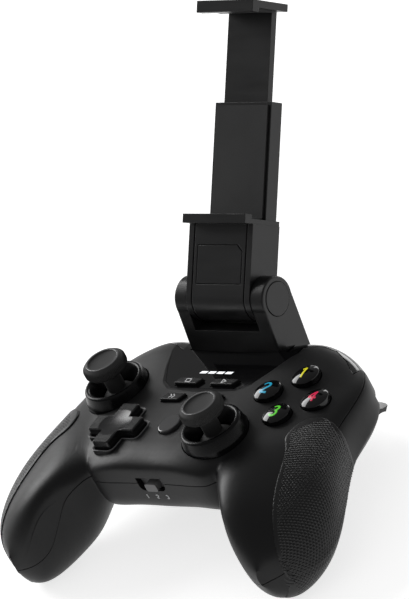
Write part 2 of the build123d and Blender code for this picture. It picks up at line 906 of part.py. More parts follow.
# Direction pad: a cross that rocks on a post through a small ring
skirt = dpad_face - dpad_skirt
arm_tip = dpad_arm_length - dpad_arm_width / 2
dpad = cross(dpad_arm_length, dpad_arm_width, skirt, dpad_top, small_round * 2)
dpad = chamfer(dpad.faces().sort_by(Axis.Z)[-1].edges(), small_round)
dpad -= Pos(*dpad_place, dpad_top + dpad_dish_r - dpad_dish_depth) * Sphere(dpad_dish_r)
dpad += post(*dpad_place, dpad_hub_r, skirt - dpad_hub_drop, skirt)
leg = post(*dpad_place, dpad_leg_r, mat_top + dpad_leg_stand, skirt)
dpad += [Pos(dx * arm_tip, dy * arm_tip) * leg for dx, dy in ((1, 0), (-1, 0), (0, 1), (0, -1))]
dpad -= Pos(*dpad_place, dpad_pivot_z) * Sphere(dpad_post_r + part_gap)
save("dpad_cross", dpad)
ring_top = dpad_pivot_z - fit_gap - part_gap
ring_low = ring_top - dpad_ring_thickness
dpad_ring = post(*dpad_place, dpad_ring_r, ring_low, ring_top)
save("dpad_rocker", dpad_ring - post(*dpad_place, dpad_post_r + part_gap, ring_low, ring_top))
pivot_post = post(*dpad_place, dpad_post_r, board_top, dpad_pivot_z)
save("dpad_post", pivot_post + Pos(*dpad_place, dpad_pivot_z) * Sphere(dpad_post_r))


def face_button(x, y):
    """Domed button with a flange that stops it under its guide, and a leg to the mat."""
    face = face_height(x, y)
    top = face + face_button_stand
    flange = face - guide_drop - part_gap
    foot = mat_top + face_button_press + fit_gap
    dome_sphere = (face_button_r**2 + face_dome_rise**2) / (2 * face_dome_rise)
    button = post(x, y, face_button_r, flange - flange_thickness, top)
    button = button & (Pos(x, y, top - dome_sphere) * Sphere(dome_sphere))
    button += post(x, y, face_button_r + flange_rim, flange - flange_thickness, flange)
    return button + post(x, y, leg_r, foot, flange)


for name, x, y in face_buttons:
    save(name, face_button(x, y))


def small_button(kind, size, place, stand):
    face = face_height(*place) if size is not menu_size else panel_floor
    under = face - wall if size is not menu_size else backing_low
    flange = under - part_gap
    foot = mat_top + small_press + fit_gap
    height = face + stand - flange
    cap = Pos(0, 0, flange) * extrude(outline(kind, size, place), height)
    cap = fillet(cap.faces().sort_by(Axis.Z)[-1].edges(), small_round)
    rim = Pos(0, 0, flange - flange_thickness) * extrude(
        outline(kind, size, place, flange_rim), flange_thickness
    )
    return cap + rim + post(*place, leg_r, foot, flange)


for name, *values in small_buttons:
    save(name, small_button(*values))

# Mode switch: a knob in the window, on a plate behind the front wall
knob_w, knob_h = switch_knob
plate_w, plate_h, plate_d = switch_plate
knob_z = switch_height - switch_drop
back_y = front_y + wall + fit_gap
knob = Rectangle(knob_w, knob_h)
knob = fillet(knob.vertices(), knob_h * 0.3)
knob = Pos(0, back_y + plate_d, knob_z) * extrude(
    Plane.XZ * knob, wall + fit_gap + plate_d + switch_proud
)
slider = block(
    (-plate_w / 2, plate_w / 2),
    (back_y, back_y + plate_d),
    (switch_height - plate_h / 2, switch_height + plate_h / 2),
)
save("mode_switch", knob + slider)

# Shoulder bumpers, each rocking on a peg at its inner end
bumper = outer_form & bumper_bay(-bumper_gap)
bumper = bumper & block((0, body_width), (0, body_length), (bumper_bottom, body_depth))
peg_hole_r = bumper_peg_r + running_gap
bumper -= rod_y(bumper_peg_x, bumper_peg_z, peg_hole_r, peg_root - wall, peg_tip + fit_gap)
save("right_bumper", bumper)
save("left_bumper", flip(bumper))

# Triggers, each a lever lofted through three side views
pivot_y, pivot_z = trigger_pivot


def trigger_section(x, rear, drop):
    """Side view of a trigger at one x: top, finger hollow, flared tip, underside, hub."""
    tip = (rear + trigger_flare, trigger_top - drop)
    heel = (tip[0] - trigger_tip, tip[1] - trigger_tip * 0.6)
    under = (pivot_y + 0.55 * (rear - pivot_y), trigger_top - 0.62 * drop - trigger_tip)
    start = (pivot_y, pivot_z + trigger_hub_r)
    hub_low = (pivot_y, pivot_z - trigger_hub_r)
    hub_front = (pivot_y - trigger_hub_r, pivot_z)
    corner = (rear, trigger_top)
    hollow_point = (rear - trigger_waist, trigger_top - drop / 2)
    curve = [
        Line(start, corner),
        Spline(corner, hollow_point, tip),
        Line(tip, heel),
        Spline(heel, under, hub_low),
        ThreePointArc(hub_low, hub_front, start),
    ]
    place = Plane(origin=(x, 0, 0), x_dir=(0, 1, 0), z_dir=(1, 0, 0))
    return Wire([place * edge for edge in Wire(curve).edges()])


trigger_width = trigger_outer - trigger_inner
trigger = Solid.make_loft(
    [
        trigger_section(trigger_inner + along * trigger_width, rear * body_length, drop * body_depth)
        for along, rear, drop in trigger_shares
    ]
)
spring_end = trigger_inner + trigger_spring_width + part_gap
trigger = trigger - rod_x(
    pivot_y, pivot_z, trigger_hub_r + part_gap, trigger_inner - wall, spring_end + part_gap
)
trigger -= rod_x(
    pivot_y, pivot_z, trigger_pin_r + running_gap, trigger_inner - wall, trigger_outer + wall
)
save("right_trigger", trigger)
save("left_trigger", flip(trigger))
trigger_pin = rod_x(*trigger_pivot, trigger_pin_r, pin_left, pin_right)
save("trigger_pins", Compound([trigger_pin, flip(trigger_pin)]))
coil_r = trigger_pin_r + fit_gap
coil = rod_x(*trigger_pivot, coil_r + trigger_spring_wall, trigger_inner, spring_end - part_gap)
coil -= rod_x(*trigger_pivot, coil_r, trigger_inner - wall, spring_end + wall)
save("trigger_springs", Compound([coil, flip(coil)]))

# Battery, charging socket and screws
battery_w, battery_d, battery_h = battery_size
battery = block(
    (-battery_w / 2, battery_w / 2),
    (battery_y - battery_d / 2, battery_y + battery_d / 2),
    (-rest_height + wall, -rest_height + wall + battery_h),
)
save("battery_cell", fillet(battery.edges().filter_by(Axis.Z), small_round * 3))


def socket_face(w, h):
    face = Rectangle(w, h)
    return Plane.XZ * fillet(face.vertices(), h * 0.45)


socket_place = Pos(0, bulge_back, socket_height)
socket = socket_place * extrude(socket_face(socket_w, socket_h), socket_d)
inside = (socket_w - 2 * socket_wall, socket_h - 2 * socket_wall)
socket -= socket_place * extrude(socket_face(*inside), socket_d - socket_wall)
tongue = block(
    (-socket_w / 3, socket_w / 3),
    (bulge_back - socket_d, bulge_back - socket_d / 4),
    (socket_height - socket_tongue / 2, socket_height + socket_tongue / 2),
)
save("charging_socket", socket + tongue)
screws = []
for x, y in screw_places:
    base = belly_height(x, y)
    shank = post(x, y, screw_r, base + screw_head_height, board_top + wall)
    head = post(x, y, screw_head_r, base + screw_head_height / 2, base + screw_head_height)
    screws.append(shank + head)
save("shell_screws", Compound(screws))

# Rumble motors and their eccentric weights
for name, side in (("right", lambda shape: shape), ("left", flip)):
    front = motor_y - motor_length / 2
    motor = rod_y(motor_x, motor_z, motor_r, front, front + motor_length)
    near, far = front - weight_gap, front - weight_gap - weight_thickness
    shaft = rod_y(motor_x, motor_z, motor_shaft_r, far, front)
    weight = rod_y(motor_x, motor_z, weight_r, far, near)
    weight = weight & block(
        (motor_x - weight_r, motor_x + weight_r),
        (-body_length, body_length),
        (motor_z - weight_r, motor_z + motor_shaft_r),
    )
    bore_r = motor_shaft_r + running_gap
    weight -= rod_y(motor_x, motor_z, bore_r, front - 2 * weight_thickness, front)
    save(f"{name}_rumble_motor", side(motor + shaft))
    save(f"{name}_rumble_weight", side(weight))

# Phone clip: lower arm with its fork, pin and side caps
hinge_y, hinge_z = hinge_place
half_arm = arm_width / 2
fork = half_arm - ear_thickness
lower_arm = side_prism(arm_side_face(0), -half_arm, half_arm)
rims = [edge for edge in lower_arm.edges() if abs(abs(edge.center().X) - half_arm) < fit_gap]
lower_arm = fillet(rims, edge_round)
lower_arm -= rod_x(hinge_y, hinge_z, barrel_r + 2 * part_gap, -fork, fork)
lower_arm -= block((-fork, fork), (0, body_length), (web_top, body_depth))
lower_arm -= rod_x(hinge_y, hinge_z, hinge_pin_r + running_gap, -half_arm, half_arm)
disc_seat = half_arm - cap_disc_thickness + cap_disc_proud
cap_seat = rod_x(hinge_y, hinge_z, cap_disc_r + fit_gap, disc_seat, half_arm + wall)
lower_arm -= [cap_seat, flip(cap_seat)]
save("lower_arm", lower_arm)
save("hinge_pin", rod_x(hinge_y, hinge_z, hinge_pin_r, -disc_seat + fit_gap, disc_seat - fit_gap))
disc = rod_x(hinge_y, hinge_z, cap_disc_r, disc_seat, half_arm + cap_disc_proud)
disc = chamfer(disc.edges().sort_by(Axis.X)[-1], fit_gap)
save("hinge_caps", Compound([disc, flip(disc)]))

# Phone clip: upper arm, drawn upright about the hinge and then leaned back
lean = Pos(0, hinge_y, hinge_z) * Rot(-arm_lean, 0, 0)
front_face = -barrel_r
back_face = front_face + arm_depth
arm_half = fork - part_gap
shelf_low = shelf_height - shelf_thickness
plate_front = front_face + phone_slot + pad_thickness
slider_front = plate_front + slider_cover
slider_back = slider_front + slider_thickness
cover_front = slider_back + slider_gap
plate_top = shelf_height + plate_height
slider_low = plate_top - slider_overlap
channel_low = slider_low - clamp_close - 2 * (spring_r + part_gap)
lip_front = front_face - lip_reach


def arm_block(half, y, z):
    return block((-half, half), y, z)


upper_arm = rod_x(0, 0, barrel_r, -arm_half, arm_half)
upper_arm += arm_block(arm_half, (front_face, back_face), (0, shelf_low))
upper_arm += arm_block(
    shelf_width / 2, (lip_front, back_face), (shelf_low, shelf_height - pad_thickness)
)
upper_arm += arm_block(
    shelf_width / 2, (lip_front, lip_front + lip_thickness), (shelf_low, shelf_height + lip_rise)
)
upper_arm += arm_block(plate_width / 2, (plate_front, back_face), (shelf_low, plate_top))
upper_arm -= arm_block(
    slider_width / 2 + slider_gap,
    (slider_front - slider_gap, back_face),
    (channel_low, plate_top + wall),
)
cover_half = plate_width / 2 - slider_cover
cover_top = plate_top - slider_cover
upper_arm -= arm_block(
    cover_half + fit_gap,
    (cover_front, back_face + wall),
    (channel_low - fit_gap, cover_top + fit_gap),
)
upper_arm -= rod_x(0, 0, hinge_pin_r + running_gap, -arm_half - wall, arm_half + wall)
groove_out = arm_half - groove_inset
groove_in = groove_out - groove_width
rim_ring = rod_x(0, 0, barrel_r + wall, groove_in, groove_out)
rim_ring -= rod_x(0, 0, barrel_r - groove_depth, groove_in - wall, groove_out + wall)
rim_ring &= block((0, arm_half), (-2 * barrel_r, back_face), (-2 * barrel_r, 0))
groove = block(
    (groove_in, groove_out), (front_face - wall, front_face + groove_depth), (0, shelf_low)
)
upper_arm -= [rim_ring, flip(rim_ring)]
upper_arm -= [groove, flip(groove)]
panel_w, panel_h = [value / 2 for value in engraving_size]


def clipped_panel(inset):
    w, h, clip = panel_w - inset, panel_h - inset, engraving_clip
    corners = [(-w, -h), (w, -h), (w, h - clip), (w - clip, h), (-w, h)]
    return make_face(Polyline(*corners, close=True))


engraving = clipped_panel(0) - clipped_panel(engraving_line)
engraving = Pos(0, front_face + engraving_line, engraving_base + panel_h) * extrude(
    Plane.XZ * engraving, wall
)
upper_arm -= engraving
save("upper_arm", lean * upper_arm)
back_cover = arm_block(cover_half, (cover_front, back_face), (channel_low, cover_top))
save("arm_back_cover", lean * back_cover)

# Sliding upper jaw, and the rolled spring that pulls it shut
jaw_low = shelf_height + clamp_opening + pad_thickness
jaw_high = jaw_low + jaw_thickness
slider = arm_block(slider_width / 2, (slider_front, slider_back), (slider_low, jaw_high))
jaw = slider + arm_block(
    plate_width / 2, (lip_front, front_face + phone_slot + jaw_back), (jaw_low, jaw_high)
)
jaw += arm_block(
    plate_width / 2, (lip_front, lip_front + lip_thickness), (jaw_low - pad_thickness - lip_rise, jaw_high)
)
save("upper_jaw", lean * jaw)
spring = rod_x(
    (slider_front + slider_back) / 2,
    channel_low + fit_gap + spring_r,
    spring_r,
    -spring_width / 2,
    spring_width / 2,
)
save("clamp_spring", lean * spring)

# Rubber pads of the clip
pad_half = plate_width / 2 - slider_cover
pad_front = lip_front + lip_thickness + fit_gap
pad_back = plate_front - pad_thickness
shelf_pad = arm_block(
    pad_half, (pad_front, pad_back), (shelf_height - pad_thickness, shelf_height)
)
plate_pad = arm_block(pad_half, (pad_back, plate_front), (shelf_height, cover_top))
save("lower_jaw_pads", lean * Compound([shelf_pad, plate_pad]))
jaw_pad = arm_block(pad_half, (pad_front, pad_back), (jaw_low - pad_thickness, jaw_low))
save("upper_jaw_pad", lean * jaw_pad)
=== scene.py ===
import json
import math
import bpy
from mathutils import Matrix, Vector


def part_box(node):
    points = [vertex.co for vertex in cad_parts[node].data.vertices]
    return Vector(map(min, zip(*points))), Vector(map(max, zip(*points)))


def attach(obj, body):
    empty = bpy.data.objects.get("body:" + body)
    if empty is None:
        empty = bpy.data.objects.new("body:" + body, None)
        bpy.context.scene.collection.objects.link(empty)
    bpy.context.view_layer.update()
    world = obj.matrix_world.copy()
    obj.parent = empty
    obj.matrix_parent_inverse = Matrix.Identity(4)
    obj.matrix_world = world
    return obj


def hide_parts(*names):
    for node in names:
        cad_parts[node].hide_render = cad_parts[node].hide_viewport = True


bl_info = {
    "name": "Game controller with phone clip",
    "version": (1, 0, 0),
    "blender": (4, 5, 0),
    "location": "View3D > Sidebar > Controller",
    "description": "Dresses the controller's frame with its finishes, fine pieces and studio",
    "category": "Object",
}

import bmesh
import bpy
import numpy as np
from bpy.props import FloatProperty, FloatVectorProperty, IntProperty, PointerProperty
from mathutils import Matrix, Vector

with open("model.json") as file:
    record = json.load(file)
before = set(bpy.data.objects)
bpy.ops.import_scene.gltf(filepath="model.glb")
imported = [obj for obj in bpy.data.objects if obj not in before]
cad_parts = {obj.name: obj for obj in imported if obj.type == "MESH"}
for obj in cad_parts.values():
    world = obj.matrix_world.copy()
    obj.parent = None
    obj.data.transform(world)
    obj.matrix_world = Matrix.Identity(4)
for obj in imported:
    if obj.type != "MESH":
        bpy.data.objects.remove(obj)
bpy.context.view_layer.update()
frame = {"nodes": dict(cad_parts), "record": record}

# Lengths here are millimetres about the face plate; put_mesh turns them into metres on the table
MM = 0.001
FACE_ORIGIN = np.array((0.0, -21.5, 42.0))

# Places and profiles that the frame's solids have too
STICKS = {"left": (-40.0, 17.2, 3.7), "right": (22.0, -5.5, 4.9)}
STICK_PIVOT_DEPTH = 11.0
COLLAR_PROFILE = (
    (9.0, -9.0),
    (12.2, -9.0),
    (12.2, -4.5),
    (11.1, -0.45),
    (10.6, 0.0),
    (9.7, 0.0),
    (9.25, -0.45),
    (6.9, -5.1),
    (7.6, -6.6),
    (8.6, -8.4),
)
CAP_PROFILE = (
    (3.3, 4.65),
    (4.6, 4.0),
    (6.8, 4.0),
    (8.1, 5.3),
    (8.1, 7.9),
    (6.8, 8.88),
    (6.45, 9.2),
    (5.75, 9.2),
    (5.4, 8.75),
    (4.2, 8.5),
    (2.7, 8.34),
    (0.0, 8.3),
)
DOME_R, DOME_WALL, DOME_REACH = 8.2, 1.0, math.radians(50)
NECK_R = 3.3
# Heights between which the cap's ribs run, the rounding of its corners with the step between
# its points, and the section of its ring
CAP_RIBS = (4.3, 8.6)
CAP_ROUND, CAP_STEP = 0.55, 0.16
CAP_RING = ((5.62, 9.0), (6.3, 9.0), (6.3, 9.2), (5.62, 9.2))
FACE_BUTTONS = ("north", "west", "south", "east")
# Face buttons: radius, rise of the dome, width of the flange, radius of the stem, and the
# depths of the side's foot and the flange's under the dome's edge
BUTTON_R, BUTTON_RISE = 5.2, 1.3
BUTTON_FLANGE, BUTTON_STEM_R, BUTTON_SIDE, BUTTON_DEPTH = 0.9, 1.2, 4.6, 5.4
DPAD_PLACE = (-22.0, -5.8)
# Half length and half width of the pad's cross-shaped well, with the radii of its ends and its
# inner corners
WELL_LENGTH, WELL_WIDTH, WELL_END_R, WELL_CORNER_R = 11.65, 4.85, 2.6, 0.3
# The lip's top is the shell's highest point in this band round the pad and under this height
LIP_BAND, LIP_CEILING, LIP_HEIGHT = (11.0, 12.1), 5.0, 0.18
# Printed marks: their size, and how far they and the numerals stand up; the numbers on the front
# wall, and a place in front of it from which they are projected
MARK_SIZE, PRINT_HEIGHT, NUMERAL_RISE = 1.9, 0.03, 0.035
SWITCH_NUMBER_X, SWITCH_NUMBER_Z, SWITCH_NUMBER_SIZE = (-4.6, 0.0, 4.6), -13.9, 1.7
FRONT_OF_BODY = -60.0
SCREW_PLACES = ((46.0, -12.0), (21.0, 13.0), (-21.0, 13.0), (-46.0, -12.0), (0.0, -15.0))
SCREW_R, SCREW_HEAD_R, SCREW_HEAD_HEIGHT = 1.2, 2.4, 0.8
# The side grips: size of the remesh cells, hub and mean radius of the angle round the grip, and
# how near to the rim a point counts as on it
SKIN_CELL = 0.36
GRIP_HUB, GRIP_RADIUS, RIM_REACH = (52.0, 14.0), 23.0, 0.32
GRIP_EDGE = np.array(
    (
        (0.4, 37.2),
        (9.8, 43.6),
        (8.8, 52.0),
        (5.0, 62.0),
        (-3.0, 72.0),
        (-15.0, 78.0),
        (-28.0, 80.0),
        (-39.0, 77.0),
        (-43.6, 64.5),
        (-40.6, 57.5),
        (-35.7, 52.6),
        (-29.6, 48.4),
        (-18.8, 43.8),
        (-7.0, 39.4),
    )
)

# The camera, from the angle of view that the size was worked out with
CAMERA_RIGHT = (0.74418, 0.52422, -0.41399)
CAMERA_UP = (-0.01187, 0.63005, 0.77647)
CAMERA_BACK = (0.66787, -0.57292, 0.47509)
CAMERA_PLACE = (1.33760, -1.13141, 1.01754)
FOCAL_PIXELS = 5795.87
IMAGE_HEIGHT = 599
SENSOR = 36.0

# Each lamp's setting, place and size in metres; where they aim; half the floor's side and the
# strength that lifts it
LAMPS = {
    "key_lamp": ("key", (-1.60, 0.36, 0.98), (1.2, 0.9)),
    "rear_lamp": ("rear", (-0.55, 1.75, 0.42), (0.8, 0.45)),
    "left_lamp": ("side", (-1.5, -0.25, 0.35), (0.5, 1.1)),
}
LAMP_AIM = (0, 0, 0.04)
FLOOR_HALF, FLOOR_LIFT = 6.0, 0.74


class ControllerSizes(bpy.types.PropertyGroup):
    """Sizes of the fine pieces."""

    weave_pitch: FloatProperty(
        name="Weave pitch",
        description="Distance between the rows of the side grips' weave",
        default=0.00115,
        unit="LENGTH",
    )
    weave_depth: FloatProperty(
        name="Weave depth",
        description="How deep the weave of the side grips is",
        default=0.00045,
        unit="LENGTH",
    )
    grip_border: FloatProperty(
        name="Grip border",
        description="Width of the smooth border round each side grip",
        default=0.0013,
        unit="LENGTH",
    )
    knurl_depth: FloatProperty(
        name="Knurl depth",
        description="Depth of the ribs round the stick caps",
        default=0.00026,
        unit="LENGTH",
    )
    knurl_count: IntProperty(
        name="Knurl count", description="Ribs round each stick cap", default=84, min=12
    )
    numeral_height: FloatProperty(
        name="Numeral height",
        description="Height of the numerals on the face buttons",
        default=0.0052,
        unit="LENGTH",
    )
    stroke: FloatProperty(
        name="Numeral stroke",
        description="Width of the numerals' strokes",
        default=0.00085,
        unit="LENGTH",
    )
    mark_stroke: FloatProperty(
        name="Mark stroke",
        description="Width of the lines of the marks on the small keys",
        default=0.00044,
        unit="LENGTH",
    )
    lip_bead: FloatProperty(
        name="Lip bead",
        description="Width of the polished bead on the direction pad's lip",
        default=0.0006,
        unit="LENGTH",
    )
    wire: FloatProperty(
        name="Spring wire",
        description="Diameter of the trigger springs' wire",
        default=0.0006,
        unit="LENGTH",
    )


def colour_property(label, words, value):
    """A colour that the panel shows."""
    return FloatVectorProperty(
        name=label, description=words, subtype="COLOR", size=3, min=0, max=1, default=value
    )


class ControllerColours(bpy.types.PropertyGroup):
    """Colours of the finishes."""

    shell: colour_property(
        "Shell", "Plastic of the shells, keys, pad and triggers", (0.0105, 0.0105, 0.011)
    )
    gloss: colour_property("Gloss", "Polished black parts", (0.004, 0.004, 0.0045))
    rubber: colour_property("Rubber", "Rubber of the side grips and pads", (0.011, 0.011, 0.0115))
    # The stick caps' rubber is black; this light grey is painted sheen, standing in for the lamp's
    # highlight on their dished tops.
    cap: colour_property("Stick caps", "Rubber of the stick caps", (0.105, 0.105, 0.107))
    # The rims are black plastic; this light grey is a painted highlight along the stick caps' rings
    # and the pad's lip bead.
    rim: colour_property("Rims", "Polished rims of the stick caps and the pad", (0.11, 0.11, 0.113))
    home: colour_property("Home", "Home button", (0.06, 0.06, 0.062))
    arm: colour_property("Arm", "Plastic of the phone clip", (0.0095, 0.0095, 0.010))
    switch: colour_property("Switch", "Knob of the mode switch", (0.17, 0.17, 0.172))
    mark: colour_property("Marks", "Printed marks on the keys", (0.74, 0.75, 0.76))
    north: colour_property("North", "Numeral of the north button", (0.86, 0.80, 0.02))
    west: colour_property("West", "Numeral of the west button", (0.02, 0.42, 0.66))
    south: colour_property("South", "Numeral of the south button", (0.14, 0.78, 0.05))
    east: colour_property("East", "Numeral of the east button", (0.78, 0.02, 0.09))


class ControllerStudio(bpy.types.PropertyGroup):
    """The studio."""

    floor: colour_property("Floor", "Colour of the floor", (0.82, 0.82, 0.82))
    world: FloatProperty(name="World", description="Strength of the world's grey", default=0.26)
    key: FloatProperty(
        name="Key lamp",
        description="Power of the large lamp at the left",
        default=21.0,
        subtype="POWER",
    )
    side: FloatProperty(
        name="Side lamp",
        description="Power of the low lamp at the left",
        default=0.6,
        subtype="POWER",
    )
    rear: FloatProperty(
        name="Rear lamp",
        description="Power of the low lamp behind",
        default=4.0,
        subtype="POWER",
    )


def settings():
    """The scene's sizes, colours and studio."""
    scene = bpy.context.scene
    return scene.controller_sizes, scene.controller_colours, scene.controller_studio


# Finishes

PATCH_SCALE = 55.0
STREAK_SCALE, STREAK_STRETCH, STREAK_TURN = 40.0, (1.0, 14.0, 4.0), (0.3, 0.2, 0.7)


def finish(
    name,
    colour,
    rough,
    grain=0.0,
    grain_size=0.0004,
    mottle=0.08,
    streak=0.0,
    edge=0.0,
    specular=0.5,
    **sockets,
):
    """A moulded finish: base colour and roughness drift in broad patches of noise, a fine
    noise of the given size and depth is the texture, stretched noise gives handling streaks,
    and edge rounds the corners' shading by that radius. All of it reads Object coordinates."""
    material = bpy.data.materials.get(name)
    if material:
        return material
    material = bpy.data.materials.new(name)
    material.use_nodes = True
    nodes, links = material.node_tree.nodes, material.node_tree.links
    shader = nodes["Principled BSDF"]
    shader.inputs["Specular IOR Level"].default_value = specular
    for socket, value in sockets.items():
        shader.inputs[socket.replace("_", " ")].default_value = value
    place = nodes.new("ShaderNodeTexCoord").outputs["Object"]

    def noise(scale, detail, stretch=None):
        texture = nodes.new("ShaderNodeTexNoise")
        texture.inputs["Scale"].default_value = scale
        texture.inputs["Detail"].default_value = detail
        if stretch:
            mapping = nodes.new("ShaderNodeMapping")
            mapping.inputs["Scale"].default_value = stretch
            mapping.inputs["Rotation"].default_value = STREAK_TURN
            links.new(place, mapping.inputs["Vector"])
            links.new(mapping.outputs["Vector"], texture.inputs["Vector"])
        else:
            links.new(place, texture.inputs["Vector"])
        return texture.outputs["Fac"]

    def spread(factor, low, high):
        """Carries a noise, which stays near its middle, to the range from low to high."""
        node = nodes.new("ShaderNodeMapRange")
        ends = {"From Min": 0.3, "From Max": 0.7, "To Min": low, "To Max": high}
        for socket, value in ends.items():
            node.inputs[socket].default_value = value
        links.new(factor, node.inputs["Value"])
        return node.outputs["Result"]

    def add(first, second):
        node = nodes.new("ShaderNodeMath")
        links.new(first, node.inputs[0])
        links.new(second, node.inputs[1])
        return node.outputs["Value"]

    patches = noise(PATCH_SCALE, 4.0)
    tint = nodes.new("ShaderNodeMix")
    tint.data_type = "RGBA"
    tint.inputs["A"].default_value = (*[c * (1 - mottle) for c in colour], 1)
    tint.inputs["B"].default_value = (*[min(c * (1 + mottle), 1) for c in colour], 1)
    links.new(spread(patches, 0.0, 1.0), tint.inputs["Factor"])
    links.new(tint.outputs["Result"], shader.inputs["Base Color"])
    roughness = spread(patches, rough * 0.92, rough * 1.08)
    if streak:
        marks = noise(STREAK_SCALE, 6.0, STREAK_STRETCH)
        roughness = add(roughness, spread(marks, -streak, streak))
    links.new(roughness, shader.inputs["Roughness"])
    if edge or grain:
        bump = nodes.new("ShaderNodeBump")
        bump.inputs["Strength"].default_value = 1.0 if grain else 0.0
        bump.inputs["Distance"].default_value = grain
        links.new(noise(1 / grain_size, 3.0), bump.inputs["Height"])
        if edge:
            corner = nodes.new("ShaderNodeBevel")
            corner.samples = 4
            corner.inputs["Radius"].default_value = edge
            links.new(corner.outputs["Normal"], bump.inputs["Normal"])
        links.new(bump.outputs["Normal"], shader.inputs["Normal"])
    return material


def coat(weight, rough):
    """A clear coat's sockets."""
    return {"Coat_Weight": weight, "Coat_Roughness": rough}


def woven_rubber(name, colour, pitch, depth, border):
    """Rubber with a diamond weave: the height is the product of the absolute sines of two
    slanted sums of the place along and round the grip, and fades out towards the rim."""
    material = finish(name, colour, 0.40, 0.000006, 0.00022, 0.10, 0.02, specular=0.4)
    nodes, links = material.node_tree.nodes, material.node_tree.links
    place = nodes.new("ShaderNodeAttribute")
    place.attribute_name = "weave"
    parts = nodes.new("ShaderNodeSeparateXYZ")
    links.new(place.outputs["Vector"], parts.inputs["Vector"])

    def calc(operation, first, second=None):
        node = nodes.new("ShaderNodeMath")
        node.operation = operation
        for socket, value in zip(node.inputs, (first, second)):
            if isinstance(value, float):
                socket.default_value = value
            elif value is not None:
                links.new(value, socket)
        return node.outputs["Value"]

    slant, level, fade = 0.62, 0.75, 0.35
    along = calc("MULTIPLY", parts.outputs["X"], math.pi / pitch)
    over = calc("MULTIPLY", parts.outputs["Y"], slant * math.pi / pitch)
    ridges = [calc("ABSOLUTE", calc("SINE", calc(way, along, over))) for way in ("ADD", "SUBTRACT")]
    inside = nodes.new("ShaderNodeMapRange")
    inside.interpolation_type = "SMOOTHSTEP"
    for socket, value in (("From Min", border), ("From Max", border + fade)):
        inside.inputs[socket].default_value = value
    links.new(parts.outputs["Z"], inside.inputs["Value"])
    weave = calc("SUBTRACT", calc("MULTIPLY", *ridges), level)
    height = calc("MULTIPLY", weave, inside.outputs["Result"])
    shader = nodes["Principled BSDF"]
    grain = shader.inputs["Normal"].links[0].from_node
    bump = nodes.new("ShaderNodeBump")
    bump.inputs["Distance"].default_value = depth
    links.new(height, bump.inputs["Height"])
    links.new(bump.outputs["Normal"], grain.inputs["Normal"])
    return material


def finishes():
    """Every finish of the controller, by name."""
    sizes, colours = settings()[:2]
    shell, gloss, rubber, cap, rim, home, arm, switch, mark = [
        tuple(getattr(colours, name))
        for name in ("shell", "gloss", "rubber", "cap", "rim", "home", "arm", "switch", "mark")
    ]
    made = {
        "shell": finish("moulded_shell", shell, 0.42, 0.000012, 0.00035, 0.10, 0.02, 0.0002, 0.26),
        "panel": finish(
            "polished_panel", gloss, 0.09, mottle=0.05, streak=0.02, specular=0.3, **coat(0.1, 0.04)
        ),
        "collar": finish(
            "polished_collar", gloss, 0.26, 0.000004, 0.0005, streak=0.02, specular=0.16
        ),
        # Light grey rim: painted highlight lines on the stick caps' rings and the direction pad's
        # lip.
        "rim": finish("polished_rim", rim, 0.16, mottle=0.05, streak=0.01, **coat(0.5, 0.06)),
        "home": finish("polished_home", home, 0.14, mottle=0.12, streak=0.015, **coat(0.6, 0.04)),
        "button": finish(
            "polished_button",
            gloss,
            0.07,
            mottle=0.04,
            streak=0.015,
            specular=0.3,
            **coat(0.12, 0.03),
        ),
        "key": finish(
            "satin_key", shell, 0.22, 0.000005, 0.0003, streak=0.02, edge=0.0003, specular=0.35
        ),
        "dpad": finish(
            "satin_pad", shell, 0.24, 0.000006, 0.0003, streak=0.03, edge=0.0003, specular=0.35
        ),
        "bumper": finish(
            "polished_bumper",
            gloss,
            0.12,
            mottle=0.05,
            streak=0.02,
            edge=0.0002,
            specular=0.45,
            **coat(0.3, 0.05),
        ),
        "trigger": finish("satin_trigger", shell, 0.30, 0.000008, 0.0003, streak=0.03, edge=0.0003),
        # Its light grey colour is painted sheen on black rubber, standing in for the highlight on
        # the caps' dished tops.
        "stick_rubber": finish("stick_rubber", cap, 0.48, 0.000008, 0.00025, 0.12, 0.02),
        "side_grip": bpy.data.materials.get("grip_rubber")
        or woven_rubber(
            "grip_rubber",
            rubber,
            sizes.weave_pitch / MM,
            sizes.weave_depth,
            sizes.grip_border / MM,
        ),
        "arm": finish("clip_plastic", arm, 0.33, 0.00001, 0.0003, 0.10, 0.03, 0.00035, 0.4),
        "pad": finish("clip_rubber", rubber, 0.65, 0.00003, 0.0004, 0.12),
        "switch": finish("switch_grey", switch, 0.35, 0.000008, 0.0003, edge=0.0002),
        "steel": finish(
            "bright_steel", (0.56, 0.55, 0.54), 0.28, 0.000003, 0.0002, 0.06, 0.05, Metallic=1.0
        ),
        "module": finish("stick_module", (0.045, 0.047, 0.05), 0.45, 0.00001, 0.0004),
        "board": finish("circuit_board", (0.008, 0.045, 0.018), 0.35, 0.00003, 0.0012, 0.35),
        "mat": finish("keypad_mat", (0.42, 0.42, 0.40), 0.60, 0.00002, 0.0004, 0.06),
        "battery": finish("battery_wrap", (0.03, 0.05, 0.11), 0.40, 0.00001, 0.0006, 0.10, 0.04),
        "mark": finish("printed_mark", mark, 0.45, 0.000003, 0.0002, 0.05),
        "window": finish(
            "indicator_window",
            (0.9, 0.93, 0.97),
            0.25,
            0.000004,
            0.0003,
            0.03,
            Emission_Color=(0.95, 0.97, 1.0, 1.0),
            Emission_Strength=0.9,
        ),
    }
    for name in FACE_BUTTONS:
        colour = tuple(getattr(colours, name))
        # The numerals' colour is their print; the small emission added to it is a painted glow, as
        # they are no lamp.
        made[name] = finish(
            f"{name}_numeral",
            colour,
            0.30,
            0.000003,
            0.0002,
            0.05,
            Emission_Color=(*colour, 1.0),
            Emission_Strength=0.25,
        )
    return made


# Meshes


